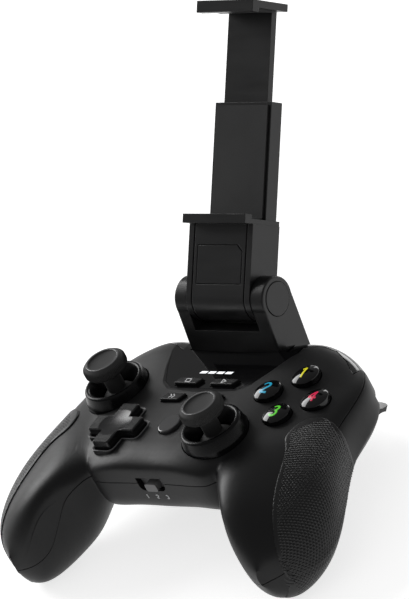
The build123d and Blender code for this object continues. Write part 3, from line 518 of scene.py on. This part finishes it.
def put_mesh(name, points, faces, finish_name, body, sharp=32.0, slot=None):
    """Puts points in millimetres about the face plate, and faces by index, into a closed
    mesh in metres on the table, that rides on a body of the frame."""
    places = (np.asarray(points, float).reshape(-1, 3) + FACE_ORIGIN) * MM
    mesh = bpy.data.meshes.new(name)
    mesh.from_pydata(places.tolist(), [], np.asarray(faces).tolist())
    form = bmesh.new()
    form.from_mesh(mesh)
    bmesh.ops.remove_doubles(form, verts=form.verts, dist=2e-7)
    bmesh.ops.recalc_face_normals(form, faces=form.faces)
    form.to_mesh(mesh)
    form.free()
    mesh.shade_smooth()
    mesh.set_sharp_from_angle(angle=math.radians(sharp))
    mesh.materials.append(finishes()[finish_name])
    piece = bpy.data.objects.new(name, mesh)
    bpy.context.scene.collection.objects.link(piece)
    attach(piece, body)
    return piece


def grid_faces(rows, columns, around=False, first=0):
    """Quads between the neighbours of a grid of points; around joins the last column to
    the first."""
    i = np.arange(rows - 1)[:, None]
    j = np.arange(columns if around else columns - 1)[None, :]
    k = (j + 1) % columns
    corners = (i * columns + j, i * columns + k, (i + 1) * columns + k, (i + 1) * columns + j)
    return np.stack(corners, -1).reshape(-1, 4) + first


def rounded(points, radius, steps=4, closed=False):
    """A line with each corner turned into a quadratic curve that starts and ends one radius
    away from it, or just under half a side away where the side is short."""
    line = np.asarray(points, float)
    before, after = np.roll(line, 1, 0), np.roll(line, -1, 0)
    ends = []
    for other in (before, after):
        side = np.linalg.norm(other - line, axis=1, keepdims=True)
        ends.append(line + (other - line) / side * np.minimum(radius, 0.48 * side))
    t = np.linspace(0, 1, steps + 1)[None, :, None]
    start, corner, end = [part[:, None] for part in (ends[0], line, ends[1])]
    curve = (1 - t) ** 2 * start + 2 * t * (1 - t) * corner + t**2 * end
    if closed:
        return curve.reshape(-1, line.shape[1])
    inner = curve[1:-1].reshape(-1, line.shape[1])
    return np.concatenate((line[:1], inner, line[-1:]))


def resampled(points, step):
    """The same line with points at even distances along it, about one step apart."""
    line = np.asarray(points, float)
    lengths = np.concatenate(((0.0,), np.cumsum(np.linalg.norm(np.diff(line, axis=0), axis=1))))
    count = max(int(lengths[-1] / step), 2) + 1
    places = np.linspace(0, lengths[-1], count)
    return np.stack([np.interp(places, lengths, values) for values in line.T], -1)


def turned(profile, place, turns=96, ribs=None):
    """A profile of radius and height turned about an upright axis: x = r cos t, y = r sin t.
    With ribs, the radius is less by half the depth times 1 + cos(count t) inside a band of
    heights, which fades out at the band's ends."""
    r, h = np.asarray(profile, float).T
    t = np.linspace(0, 2 * np.pi, turns, endpoint=False)
    radius = np.repeat(r[:, None], turns, 1)
    if ribs:
        count, depth, low, high = ribs
        fade = np.clip(np.minimum(h - low, high - h) / 0.5, 0, 1) * (r > 6.0)
        radius -= depth / 2 * (1 + np.cos(count * t))[None, :] * fade[:, None]
    heights = np.repeat(h[:, None], turns, 1)
    points = np.stack((radius * np.cos(t), radius * np.sin(t), heights), -1) + np.asarray(place)
    return points.reshape(-1, 3), grid_faces(len(r), turns, around=True)


def bead(line, width, height, closed=False):
    """A flat-topped bead carried along a line in plan. At each point of the line its cross
    section lies across the tangent. Returns places in plan, heights over the seat, faces."""
    line = np.asarray(line, float)
    if closed:
        tangent = np.roll(line, -1, 0) - np.roll(line, 1, 0)
    else:
        tangent = np.gradient(line, axis=0)
    tangent /= np.linalg.norm(tangent, axis=1, keepdims=True)
    aside = np.stack((-tangent[:, 1], tangent[:, 0]), -1)
    across = np.array((-0.5, -0.5, -0.32, 0.0, 0.32, 0.5, 0.5)) * width
    lift = np.array((-0.6, 0.45, 0.93, 1.0, 0.93, 0.45, -0.6)) * height
    plan = line[:, None] + aside[:, None] * across[None, :, None]
    heights = np.repeat(lift[None], len(line), 0)
    if closed:
        plan, heights = [np.concatenate((grid, grid[:1])) for grid in (plan, heights)]
    else:
        ends = [np.repeat(line[k][None, None], len(across), 1) for k in (0, -1)]
        plan = np.concatenate((ends[0], plan, ends[1]))
        foot = np.full((1, len(across)), -0.3 * height)
        heights = np.concatenate((foot, heights, foot))
    return plan.reshape(-1, 2), heights.ravel(), grid_faces(len(plan), len(across), around=True)


def joined(parts):
    """Several sets of points and faces as one."""
    points, faces = zip(*parts)
    firsts = np.cumsum([0, *[len(some) for some in points[:-1]]])
    return np.concatenate(points), np.concatenate([k + first for k, first in zip(faces, firsts)])


def projected(points, node, axes, forward=False):
    """Where lines through the points, along the sum of the named axes, meet a CAD node. A
    shrinkwrap modifier finds them."""
    mesh = bpy.data.meshes.new("probe")
    places = (np.asarray(points) + FACE_ORIGIN) * MM
    mesh.from_pydata(places.tolist(), [], [])
    probe = bpy.data.objects.new("probe", mesh)
    bpy.context.scene.collection.objects.link(probe)
    wrap = probe.modifiers.new("wrap", "SHRINKWRAP")
    wrap.target = frame["nodes"][node]
    wrap.wrap_method = "PROJECT"
    wrap.use_project_x, wrap.use_project_y, wrap.use_project_z = [a in axes for a in "xyz"]
    wrap.use_positive_direction = forward
    wrap.use_negative_direction = not forward
    graph = bpy.context.evaluated_depsgraph_get()
    hits = mesh_points(probe.evaluated_get(graph).to_mesh())
    bpy.data.objects.remove(probe)
    bpy.data.meshes.remove(mesh)
    return hits


def mesh_points(mesh):
    """A mesh's vertices, in millimetres about the face plate."""
    places = np.empty(len(mesh.vertices) * 3)
    mesh.vertices.foreach_get("co", places)
    return places.reshape(-1, 3) / MM - FACE_ORIGIN


def node_points(node):
    """A CAD node's vertices, in millimetres about the face plate."""
    return mesh_points(frame["nodes"][node].data)


# Strokes of the numerals and marks, in a box one high about the origin


def arc(x, y, r, start, end, steps=14):
    """Points of an arc about x, y between two angles in degrees."""
    t = np.radians(np.linspace(start, end, steps))
    return np.stack((x + r * np.cos(t), y + r * np.sin(t)), -1)


def numeral_lines(digit):
    """The lines of a digit from 1 to 4: arcs and straight strokes."""
    if digit == 1:
        return [np.array(((-0.2, 0.26), (0.04, 0.46), (0.04, -0.5)))]
    if digit == 2:
        foot = ((-0.27, -0.46), (0.3, -0.46))
        return [np.concatenate((arc(0.0, 0.2, 0.27, 165, -30), foot))]
    if digit == 3:
        upper, lower = arc(0.0, 0.22, 0.235, 150, -80, 18), arc(0.0, -0.22, 0.26, 75, -150, 18)
        return [np.concatenate((upper, lower))]
    return [np.array(((0.13, -0.5), (0.13, 0.46), (-0.3, -0.18), (0.34, -0.18)))]


def mark_lines(kind):
    """The lines of a small key's mark: chevrons, a cross, a box or a triangle."""
    chevron = np.array(((-0.25, 0.5), (0.25, 0.0), (-0.25, -0.5)))
    if kind == "chevrons":
        return [chevron + (-0.45, 0), chevron + (0.25, 0)]
    if kind == "cross":
        return [np.array(((-0.45, 0.45), (0.45, -0.45))), np.array(((-0.45, -0.45), (0.45, 0.45)))]
    if kind == "box":
        left, right, low, high = -0.55, 0.55, -0.42, 0.42
        corners = ((left, low), (right, low), (right, high), (left, high), (left, low))
        return [np.array(corners)]
    return [np.array(((-0.4, 0.5), (0.5, 0.0), (-0.4, -0.5), (-0.4, 0.5)))]


def strokes(lines, size, width, height, place, seat, corner=0.12):
    """Beads along each line, scaled to size and moved to place in plan, and set by seat,
    which turns places in plan and heights into points."""
    parts = []
    for line in lines:
        path = resampled(rounded(line, corner) * size, width / 3) + np.asarray(place)
        plan, heights, faces = bead(path, width, height)
        parts.append((seat(plan, heights), faces))
    return joined(parts)


def flat_seat(z):
    """On a level top at height z."""
    return lambda plan, heights: np.column_stack((plan, z + heights))


def dome_seat(centre, top, radius):
    """Over a dome: z = top - R + sqrt(R squared - d squared) at distance d from its middle."""

    def seat(plan, heights):
        away = ((plan - np.asarray(centre)) ** 2).sum(1)
        return np.column_stack((plan, top - radius + np.sqrt(radius**2 - away) + heights))

    return seat


# Operators


class FINISH_OT_frame(bpy.types.Operator):
    """Gives every node of the frame its moulded, rubber or metal finish"""

    bl_idname = "controller.finish_frame"
    bl_label = "Finish the frame"

    def execute(self, context):
        made = finishes()
        slots = node_slots()
        for name, node in frame["nodes"].items():
            node.data.materials.clear()
            node.data.materials.append(made["home" if name == "home_button" else slots[name]])
        return {"FINISHED"}


def node_slots():
    """Each node's material slot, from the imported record."""
    return {part["node"]: part["material_slot"] for part in frame["record"]["subparts"]}


class GRIP_OT_skins(bpy.types.Operator):
    """Makes the woven rubber skins of both side grips, with their smooth borders"""

    bl_idname = "controller.grip_skins"
    bl_label = "Side grips"

    def execute(self, context):
        for side, sign in (("right", 1), ("left", -1)):
            points, faces = even_skin(f"{side}_side_grip", SKIN_CELL)
            skin = put_mesh(f"{side}_grip_skin", points, faces, "side_grip", "body", sharp=70)
            weave = skin.data.attributes.new("weave", "FLOAT_VECTOR", "POINT")
            places = grip_places(mesh_points(skin.data) * (sign, 1, 1))
            weave.data.foreach_set("vector", places.ravel())
            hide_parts(f"{side}_side_grip")
        return {"FINISHED"}


def even_skin(node, step):
    """A CAD node's shape again, as a closed skin of even squares whose corners are a little
    soft: the remesh modifier fills it with cells of one step, and the smooth one relaxes it."""
    mesh = frame["nodes"][node].data.copy()
    form = bmesh.new()
    form.from_mesh(mesh)
    bmesh.ops.remove_doubles(form, verts=form.verts, dist=1e-6)
    form.to_mesh(mesh)
    form.free()
    source = bpy.data.objects.new("source", mesh)
    bpy.context.scene.collection.objects.link(source)
    remesh = source.modifiers.new("cells", "REMESH")
    remesh.mode = "VOXEL"
    remesh.voxel_size = step * MM
    relax = source.modifiers.new("relax", "SMOOTH")
    relax.factor, relax.iterations = 0.5, 2
    found = source.evaluated_get(bpy.context.evaluated_depsgraph_get()).to_mesh()
    points = mesh_points(found)
    corners = np.empty(len(found.loops), int)
    found.loops.foreach_get("vertex_index", corners)
    faces = corners.reshape(-1, 4)
    bpy.data.objects.remove(source)
    bpy.data.meshes.remove(mesh)
    return points, faces


def grip_places(points):
    """Three lengths in millimetres for each point of the right grip's skin: its place along
    y, its place round the grip, which is the angle about a line along y inside the grip times
    a mean radius, and its distance from the rim. The rim is where the skin lies on the
    leaf-shaped edge seen straight on to the grip, or at the skin's lower end."""
    q = (points[:, 0] - points[:, 2]) / math.sqrt(2)
    h = (points[:, 0] + points[:, 2]) / math.sqrt(2)
    edge = closed_curve(GRIP_EDGE, 560)
    aside = nearest(np.column_stack((points[:, 1], q)), edge)
    rim = points[(aside < RIM_REACH) | (h < h.min() + RIM_REACH)]
    turn = np.arctan2(h - GRIP_HUB[1], q - GRIP_HUB[0])
    return np.column_stack((points[:, 1], turn * GRIP_RADIUS, nearest(points, rim[::3])))


def nearest(points, others, block=400):
    """Distance from each point to the nearest of the others, a block of these at a time."""
    least = np.full(len(points), np.inf)
    for first in range(0, len(others), block):
        some = others[first : first + block]
        square = (points**2).sum(1)[:, None] + (some**2).sum(1)[None] - 2 * points @ some.T
        least = np.minimum(least, square.min(1))
    return np.sqrt(np.maximum(least, 0))


def smooth_step(x):
    """3 x squared - 2 x cubed, held between 0 and 1."""
    x = np.clip(x, 0, 1)
    return x * x * (3 - 2 * x)


def closed_curve(points, count):
    """A smooth closed curve through the points: between two of them it is the cubic whose
    slope at each is half the way between its neighbours."""
    p = np.asarray(points, float)
    slope = (np.roll(p, -1, 0) - np.roll(p, 1, 0)) / 2
    t = np.linspace(0, 1, count // len(p), endpoint=False)[None, :, None]
    p0, p1, m0, m1 = [v[:, None] for v in (p, np.roll(p, -1, 0), slope, np.roll(slope, -1, 0))]
    curve = (
        (2 * t**3 - 3 * t**2 + 1) * p0
        + (t**3 - 2 * t**2 + t) * m0
        + (3 * t**2 - 2 * t**3) * p1
        + (t**3 - t**2) * m1
    )
    return curve.reshape(-1, p.shape[1])


class STICK_OT_caps(bpy.types.Operator):
    """Makes the stick caps, with their ribbed sides, dished tops and domes"""

    bl_idname = "controller.stick_caps"
    bl_label = "Stick caps"

    def execute(self, context):
        sizes = settings()[0]
        for side, (x, y, mouth) in STICKS.items():
            profile = stick_profile()
            ribs = (sizes.knurl_count, sizes.knurl_depth / MM, *CAP_RIBS)
            points, faces = turned(profile, (x, y, mouth), sizes.knurl_count * 6, ribs)
            body = f"{side}_stick"
            cap = put_mesh(f"{side}_stick_grip", points, faces, "stick_rubber", body, sharp=50)
            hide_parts(f"{side}_stick_cap")
            # The ring round each cap's dish is light grey: a painted highlight line.
            line = rounded(CAP_RING, 0.08, 3, closed=True)
            ring, faces = turned(np.concatenate((line, line[:1])), (x, y, mouth), 120)
            put_mesh(f"{side}_stick_ring", ring, faces, "rim", body, sharp=60, slot="stick_rubber")
        return {"FINISHED"}


def stick_profile():
    """Radius and height over the collar's mouth: inside of the dome, its outside, the neck,
    and the cap with rounded corners."""
    pivot = -STICK_PIVOT_DEPTH
    start = math.asin(NECK_R / DOME_R)
    t = np.linspace(0, DOME_REACH, 12)[:, None]
    inner = (DOME_R - DOME_WALL) * np.concatenate((np.sin(t), np.cos(t)), 1) + (0, pivot)
    t = np.linspace(DOME_REACH, start, 14)[:, None]
    outer = DOME_R * np.concatenate((np.sin(t), np.cos(t)), 1) + (0, pivot)
    neck = (NECK_R, outer[-1, 1] + 0.1)
    cap = resampled(rounded((neck, *CAP_PROFILE), CAP_ROUND, 5), CAP_STEP)
    return np.concatenate((inner, outer, cap))


class COLLAR_OT_rings(bpy.types.Operator):
    """Makes the dark collars round the sticks"""

    bl_idname = "controller.collars"
    bl_label = "Stick collars"

    def execute(self, context):
        for side, place in STICKS.items():
            profile = rounded(COLLAR_PROFILE, 0.32, 4, closed=True)
            profile = np.concatenate((profile, profile[:1]))
            points, faces = turned(profile, place, 144)
            collar = put_mesh(f"{side}_collar_ring", points, faces, "collar", "body")
            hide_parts(f"{side}_stick_collar")
        return {"FINISHED"}


def button_place(name):
    """Middle in plan, foot and top of a button, from its CAD box."""
    low, high = [np.array(corner) / MM - FACE_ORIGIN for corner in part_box(f"{name}_button")]
    return (low[:2] + high[:2]) / 2, low[2], high[2]


class BUTTON_OT_domes(bpy.types.Operator):
    """Makes the four domed face buttons and the numerals printed under their gloss"""

    bl_idname = "controller.face_buttons"
    bl_label = "Face buttons"

    def execute(self, context):
        sizes = settings()[0]
        radius = (BUTTON_R**2 + BUTTON_RISE**2) / (2 * BUTTON_RISE)
        for digit, name in enumerate(FACE_BUTTONS, 1):
            middle, foot, top = button_place(name)
            r = np.linspace(0, BUTTON_R - 0.15, 16)
            dome = np.column_stack((r, top - radius + np.sqrt(radius**2 - r**2)))
            under = top - BUTTON_RISE
            side = rounded(
                (
                    dome[-1],
                    (BUTTON_R, under - 0.15),
                    (BUTTON_R, under - BUTTON_SIDE),
                    (BUTTON_R + BUTTON_FLANGE, under - BUTTON_SIDE),
                    (BUTTON_R + BUTTON_FLANGE, under - BUTTON_DEPTH),
                    (BUTTON_STEM_R, under - BUTTON_DEPTH),
                    (BUTTON_STEM_R, foot),
                    (0.0, foot),
                ),
                0.25,
            )
            profile = np.concatenate((dome, side[1:]))
            points, faces = turned(profile, (*middle, 0.0), 96)
            button = put_mesh(f"{name}_dome", points, faces, "button", f"{name}_button")
            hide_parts(f"{name}_button")
            points, faces = strokes(
                numeral_lines(digit),
                sizes.numeral_height / MM,
                sizes.stroke / MM,
                NUMERAL_RISE,
                middle,
                dome_seat(middle, top, radius),
            )
            put_mesh(f"{name}_numeral", points, faces, name, f"{name}_button", slot="button")
        return {"FINISHED"}


class KEY_OT_marks(bpy.types.Operator):
    """Prints plain marks on the four small keys and numbers under the mode switch"""

    bl_idname = "controller.key_marks"
    bl_label = "Key marks"

    def execute(self, context):
        sizes = settings()[0]
        width = sizes.mark_stroke / MM
        for name, kind in (
            ("turbo", "chevrons"),
            ("clear", "cross"),
            ("select", "box"),
            ("start", "triangle"),
        ):
            middle, _, top = button_place(name)
            points, faces = strokes(
                mark_lines(kind), MARK_SIZE, width, PRINT_HEIGHT, middle, flat_seat(top), 0.05
            )
            put_mesh(f"{name}_mark", points, faces, "mark", f"{name}_button", slot="key")
        parts = []

        def wall_seat(plan, heights):
            """On the front wall: plan holds places along x and z."""
            start = np.column_stack((plan[:, 0], np.full(len(plan), FRONT_OF_BODY), plan[:, 1]))
            wall = projected(start, "bottom_shell", "y", forward=True)
            return wall - np.outer(heights, (0, 1, 0))

        for digit, x in enumerate(SWITCH_NUMBER_X, 1):
            place, size = (x, SWITCH_NUMBER_Z), SWITCH_NUMBER_SIZE
            lines = numeral_lines(digit)
            parts.append(strokes(lines, size, width, PRINT_HEIGHT, place, wall_seat, 0.1))
        put_mesh("switch_numbers", *joined(parts), "mark", "body", slot="shell")
        return {"FINISHED"}


class PAD_OT_lip(bpy.types.Operator):
    """Makes the polished bead round the direction pad's well, whose light grey is a painted
    highlight
    """

    bl_idname = "controller.pad_lip"
    bl_label = "Direction pad lip"

    def execute(self, context):
        sizes = settings()[0]
        tips = np.array(((WELL_LENGTH, -WELL_WIDTH), (WELL_LENGTH, WELL_WIDTH)))
        quarter = np.array(((0, -1), (1, 0)))
        corners, turn = [], np.eye(2)
        for _ in range(4):
            corners += [*(tips @ turn), np.array((WELL_WIDTH, WELL_WIDTH)) @ turn]
            turn = turn @ quarter.T
        corners = np.array(corners)
        shape, steps = (12, 9, 2), 8
        ends = rounded(corners, WELL_END_R, steps, closed=True).reshape(shape)
        tight = rounded(corners, WELL_CORNER_R, steps, closed=True).reshape(shape)
        ends[2::3] = tight[2::3]
        path = ends.reshape(-1, 2)
        path = resampled(np.concatenate((path, path[:1])), 0.35)[:-1] + DPAD_PLACE
        near = node_points("top_shell")
        reach = np.abs(near[:, :2] - DPAD_PLACE).max(1)
        low, high = LIP_BAND
        top = near[(reach < high) & (reach > low) & (near[:, 2] < LIP_CEILING), 2].max()
        plan, heights, faces = bead(path, sizes.lip_bead / MM, LIP_HEIGHT, closed=True)
        points = np.column_stack((plan, top + heights))
        # The bead's light grey rim finish is a painted highlight along the lip.
        put_mesh("pad_lip", points, faces, "rim", "body", slot="shell")
        return {"FINISHED"}


class SCREW_OT_heads(bpy.types.Operator):
    """Makes the five screws of the underside, with cross recesses in their heads"""

    bl_idname = "controller.screws"
    bl_label = "Screws"

    def execute(self, context):
        found = node_points("shell_screws")
        parts = []
        for x, y in SCREW_PLACES:
            near = found[np.hypot(found[:, 0] - x, found[:, 1] - y) < SCREW_HEAD_R + 0.4]
            parts.append(screw(x, y, near[:, 2].min(), near[:, 2].max()))
        screws = put_mesh("cross_screws", *joined(parts), "steel", "body", sharp=40)
        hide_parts("shell_screws")
        return {"FINISHED"}


def screw(x, y, low, high):
    """A screw that points up: its head's lower face is a polar grid, raised inside a cross
    whose arms are narrow and fade out near the rim, and its sides and shank are turned."""
    half_arm, arm_reach, recess, bevel = 0.42, 1.5, 0.5, 0.12
    r = np.concatenate((np.linspace(0, SCREW_HEAD_R - 0.2, 24), (SCREW_HEAD_R,)))
    t = np.linspace(0, 2 * np.pi, 96, endpoint=False)
    px, py = r[:, None] * np.cos(t), r[:, None] * np.sin(t)
    arm = np.minimum(np.abs(px), np.abs(py))
    reach = np.maximum(np.abs(px), np.abs(py))
    cross = smooth_step((half_arm - arm) / 0.14) * smooth_step((arm_reach - reach) / 0.3)
    height = low + recess * cross + bevel * (r[:, None] / SCREW_HEAD_R) ** 6
    head = np.stack((x + px, y + py, height), -1).reshape(-1, 3)
    body, faces = turned(
        (
            (SCREW_HEAD_R, low + bevel),
            (SCREW_HEAD_R, low + SCREW_HEAD_HEIGHT),
            (SCREW_R, low + SCREW_HEAD_HEIGHT),
            (SCREW_R, high - 0.4),
            (SCREW_R * 0.5, high),
            (0.0, high),
        ),
        (x, y, 0.0),
        96,
    )
    return joined([(head, grid_faces(len(r), len(t), around=True)), (body, faces)])


class SPRING_OT_wires(bpy.types.Operator):
    """Winds the trigger springs, and the flat spring that draws the clip shut"""

    bl_idname = "controller.springs"
    bl_label = "Springs"

    def execute(self, context):
        sizes = settings()[0]
        found = node_points("trigger_springs")
        parts = []
        for sign in (1, -1):
            near = found[found[:, 0] * sign > 0]
            low, high = near.min(0), near.max(0)
            parts.append(coil(low, high, sizes.wire / MM))
        springs = put_mesh("trigger_coils", *joined(parts), "steel", "body", sharp=80)
        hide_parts("trigger_springs")
        near = node_points("clamp_spring")
        points, faces = spring_roll(near.min(0), near.max(0))
        roll = put_mesh("clamp_roll", points, faces, "steel", "clip_arm", sharp=60)
        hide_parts("clamp_spring")
        return {"FINISHED"}


def coil(low, high, wire):
    """A wire wound along x inside a box: its centre line is a helix, and round it the wire's
    circle lies in the helix's normal and binormal."""
    turns, steps, sides = 4, 160, 10
    middle = (low + high) / 2
    radius = (high[2] - low[2]) / 2 - wire / 2
    t = np.linspace(0, 2 * np.pi * turns, steps)
    rise = (high[0] - low[0] - wire) / t[-1]
    round_y, round_z = middle[1] + radius * np.cos(t), middle[2] + radius * np.sin(t)
    line = np.stack((t * rise + low[0] + wire / 2, round_y, round_z), -1)
    normal = np.stack((0 * t, np.cos(t), np.sin(t)), -1)
    forward = np.stack((rise + 0 * t, -radius * np.sin(t), radius * np.cos(t)), -1)
    binormal = np.cross(forward, normal)
    binormal /= np.linalg.norm(binormal, axis=1, keepdims=True)
    u = np.linspace(0, 2 * np.pi, sides, endpoint=False)[None, :, None]
    tube = line[:, None] + wire / 2 * (np.cos(u) * normal[:, None] + np.sin(u) * binormal[:, None])
    ends = [np.repeat(line[k][None, None], sides, 1) for k in (0, -1)]
    tube = np.concatenate((ends[0], tube, ends[1]))
    return tube.reshape(-1, 3), grid_faces(len(tube), sides, around=True)


def spring_roll(low, high):
    """A flat steel strip rolled up along x: a spiral r = a + b t with a thin wall."""
    thick, inner, outer, turns, steps = 0.14, 0.35, 1.25, 3.0, 150
    middle = (low + high) / 2
    t = np.linspace(0, 2 * np.pi * turns, steps)
    r = np.linspace(inner, outer, steps)
    direction = np.stack((np.cos(t), np.sin(t)), -1)
    outside, inside = direction * r[:, None], direction * (r - thick)[:, None]
    loop = np.concatenate((outside, inside[::-1]))
    sections = [
        np.column_stack((np.full(len(loop), x), middle[1] + loop[:, 0], middle[2] + loop[:, 1]))
        for x in (low[0], high[0])
    ]
    count = len(loop)
    walls = (np.concatenate(sections), grid_faces(2, count, around=True))
    k = np.arange(steps - 1)
    cap = np.stack((k, k + 1, count - 2 - k, count - 1 - k), -1)
    return joined([walls, (sections[0], cap), (sections[1], cap)])


class STUDIO_OT_stage(bpy.types.Operator):
    """Sets the pale floor, the soft lamps, the grey world and the camera"""

    bl_idname = "controller.stage"
    bl_label = "Studio"

    def execute(self, context):
        studio = settings()[2]
        scene = context.scene
        scene.view_settings.view_transform = "Standard"
        half = FLOOR_HALF
        mesh = bpy.data.meshes.new("floor")
        corners = ((-half, -half, 0), (half, -half, 0), (half, half, 0), (-half, half, 0))
        mesh.from_pydata(corners, [], [(0, 1, 2, 3)])
        mesh.materials.append(floor_finish(tuple(studio.floor)))
        floor = bpy.data.objects.new("floor", mesh)
        scene.collection.objects.link(floor)
        world = bpy.data.worlds.new("studio")
        scene.world = world
        world.use_nodes = True
        background = world.node_tree.nodes["Background"]
        background.inputs["Color"].default_value = (1, 1, 1, 1)
        background.inputs["Strength"].default_value = studio.world
        for name, (power, place, size) in LAMPS.items():
            lamp(name, place, size, getattr(studio, power))
        camera = bpy.data.cameras.new("camera")
        camera.sensor_fit = "VERTICAL"
        camera.sensor_height = SENSOR
        camera.lens = FOCAL_PIXELS / IMAGE_HEIGHT * SENSOR
        camera.clip_end = 50
        viewer = bpy.data.objects.new("camera", camera)
        axes = np.array((CAMERA_RIGHT, CAMERA_UP, CAMERA_BACK)).T
        viewer.matrix_world = Matrix.Translation(CAMERA_PLACE) @ Matrix(axes.tolist()).to_4x4()
        scene.collection.objects.link(viewer)
        scene.camera = viewer
        return {"FINISHED"}


def lamp(name, place, size, power):
    """A soft rectangular lamp that faces the controller."""
    light = bpy.data.lights.new(name, "AREA")
    light.shape = "RECTANGLE"
    light.size, light.size_y = size
    light.energy = power
    holder = bpy.data.objects.new(name, light)
    holder.location = place
    aim = Vector(LAMP_AIM) - Vector(place)
    holder.rotation_euler = aim.to_track_quat("-Z", "Y").to_euler()
    bpy.context.scene.collection.objects.link(holder)


def floor_finish(colour):
    """Pale floor: lit as paint is, and lifted to white where the camera, a gloss or a clear
    part sees it, so that it keeps the shadow."""
    material = bpy.data.materials.new("floor")
    material.use_nodes = True
    nodes, links = material.node_tree.nodes, material.node_tree.links
    shader = nodes["Principled BSDF"]
    shader.inputs["Base Color"].default_value = (*colour, 1)
    shader.inputs["Roughness"].default_value = 0.9
    shader.inputs["Specular IOR Level"].default_value = 0.1
    path = nodes.new("ShaderNodeLightPath")
    seen = path.outputs["Is Camera Ray"]
    for other in ("Is Glossy Ray", "Is Transmission Ray"):
        most = nodes.new("ShaderNodeMath")
        most.operation = "MAXIMUM"
        links.new(seen, most.inputs[0])
        links.new(path.outputs[other], most.inputs[1])
        seen = most.outputs["Value"]
    lift = nodes.new("ShaderNodeMath")
    lift.operation = "MULTIPLY"
    lift.inputs[1].default_value = FLOOR_LIFT
    links.new(seen, lift.inputs[0])
    glow = nodes.new("ShaderNodeEmission")
    links.new(lift.outputs["Value"], glow.inputs["Strength"])
    both = nodes.new("ShaderNodeAddShader")
    links.new(shader.outputs["BSDF"], both.inputs[0])
    links.new(glow.outputs["Emission"], both.inputs[1])
    links.new(both.outputs["Shader"], nodes["Material Output"].inputs["Surface"])
    return material


OPERATORS = (
    FINISH_OT_frame,
    GRIP_OT_skins,
    STICK_OT_caps,
    COLLAR_OT_rings,
    BUTTON_OT_domes,
    KEY_OT_marks,
    PAD_OT_lip,
    SCREW_OT_heads,
    SPRING_OT_wires,
    STUDIO_OT_stage,
)


class VIEW3D_PT_controller(bpy.types.Panel):
    """Lists the controller's operators, sizes and colours"""

    bl_label = "Controller"
    bl_space_type = "VIEW_3D"
    bl_region_type = "UI"
    bl_category = "Controller"

    def draw(self, context):
        layout = self.layout
        for operator in OPERATORS:
            layout.operator(operator.bl_idname)
        for group in settings():
            box = layout.box()
            for name in group.__annotations__:
                box.prop(group, name)


GROUPS = {
    "controller_sizes": ControllerSizes,
    "controller_colours": ControllerColours,
    "controller_studio": ControllerStudio,
}


def register():
    for name, group in GROUPS.items():
        bpy.utils.register_class(group)
        setattr(bpy.types.Scene, name, PointerProperty(type=group))
    for entry in (*OPERATORS, VIEW3D_PT_controller):
        bpy.utils.register_class(entry)


def unregister():
    for entry in reversed((*OPERATORS, VIEW3D_PT_controller)):
        bpy.utils.unregister_class(entry)
    for name, group in GROUPS.items():
        delattr(bpy.types.Scene, name)
        bpy.utils.unregister_class(group)


def main():
    register()
    for operator in OPERATORS:
        family, name = operator.bl_idname.split(".")
        getattr(getattr(bpy.ops, family), name)()


if __name__ == "__main__":
    main()
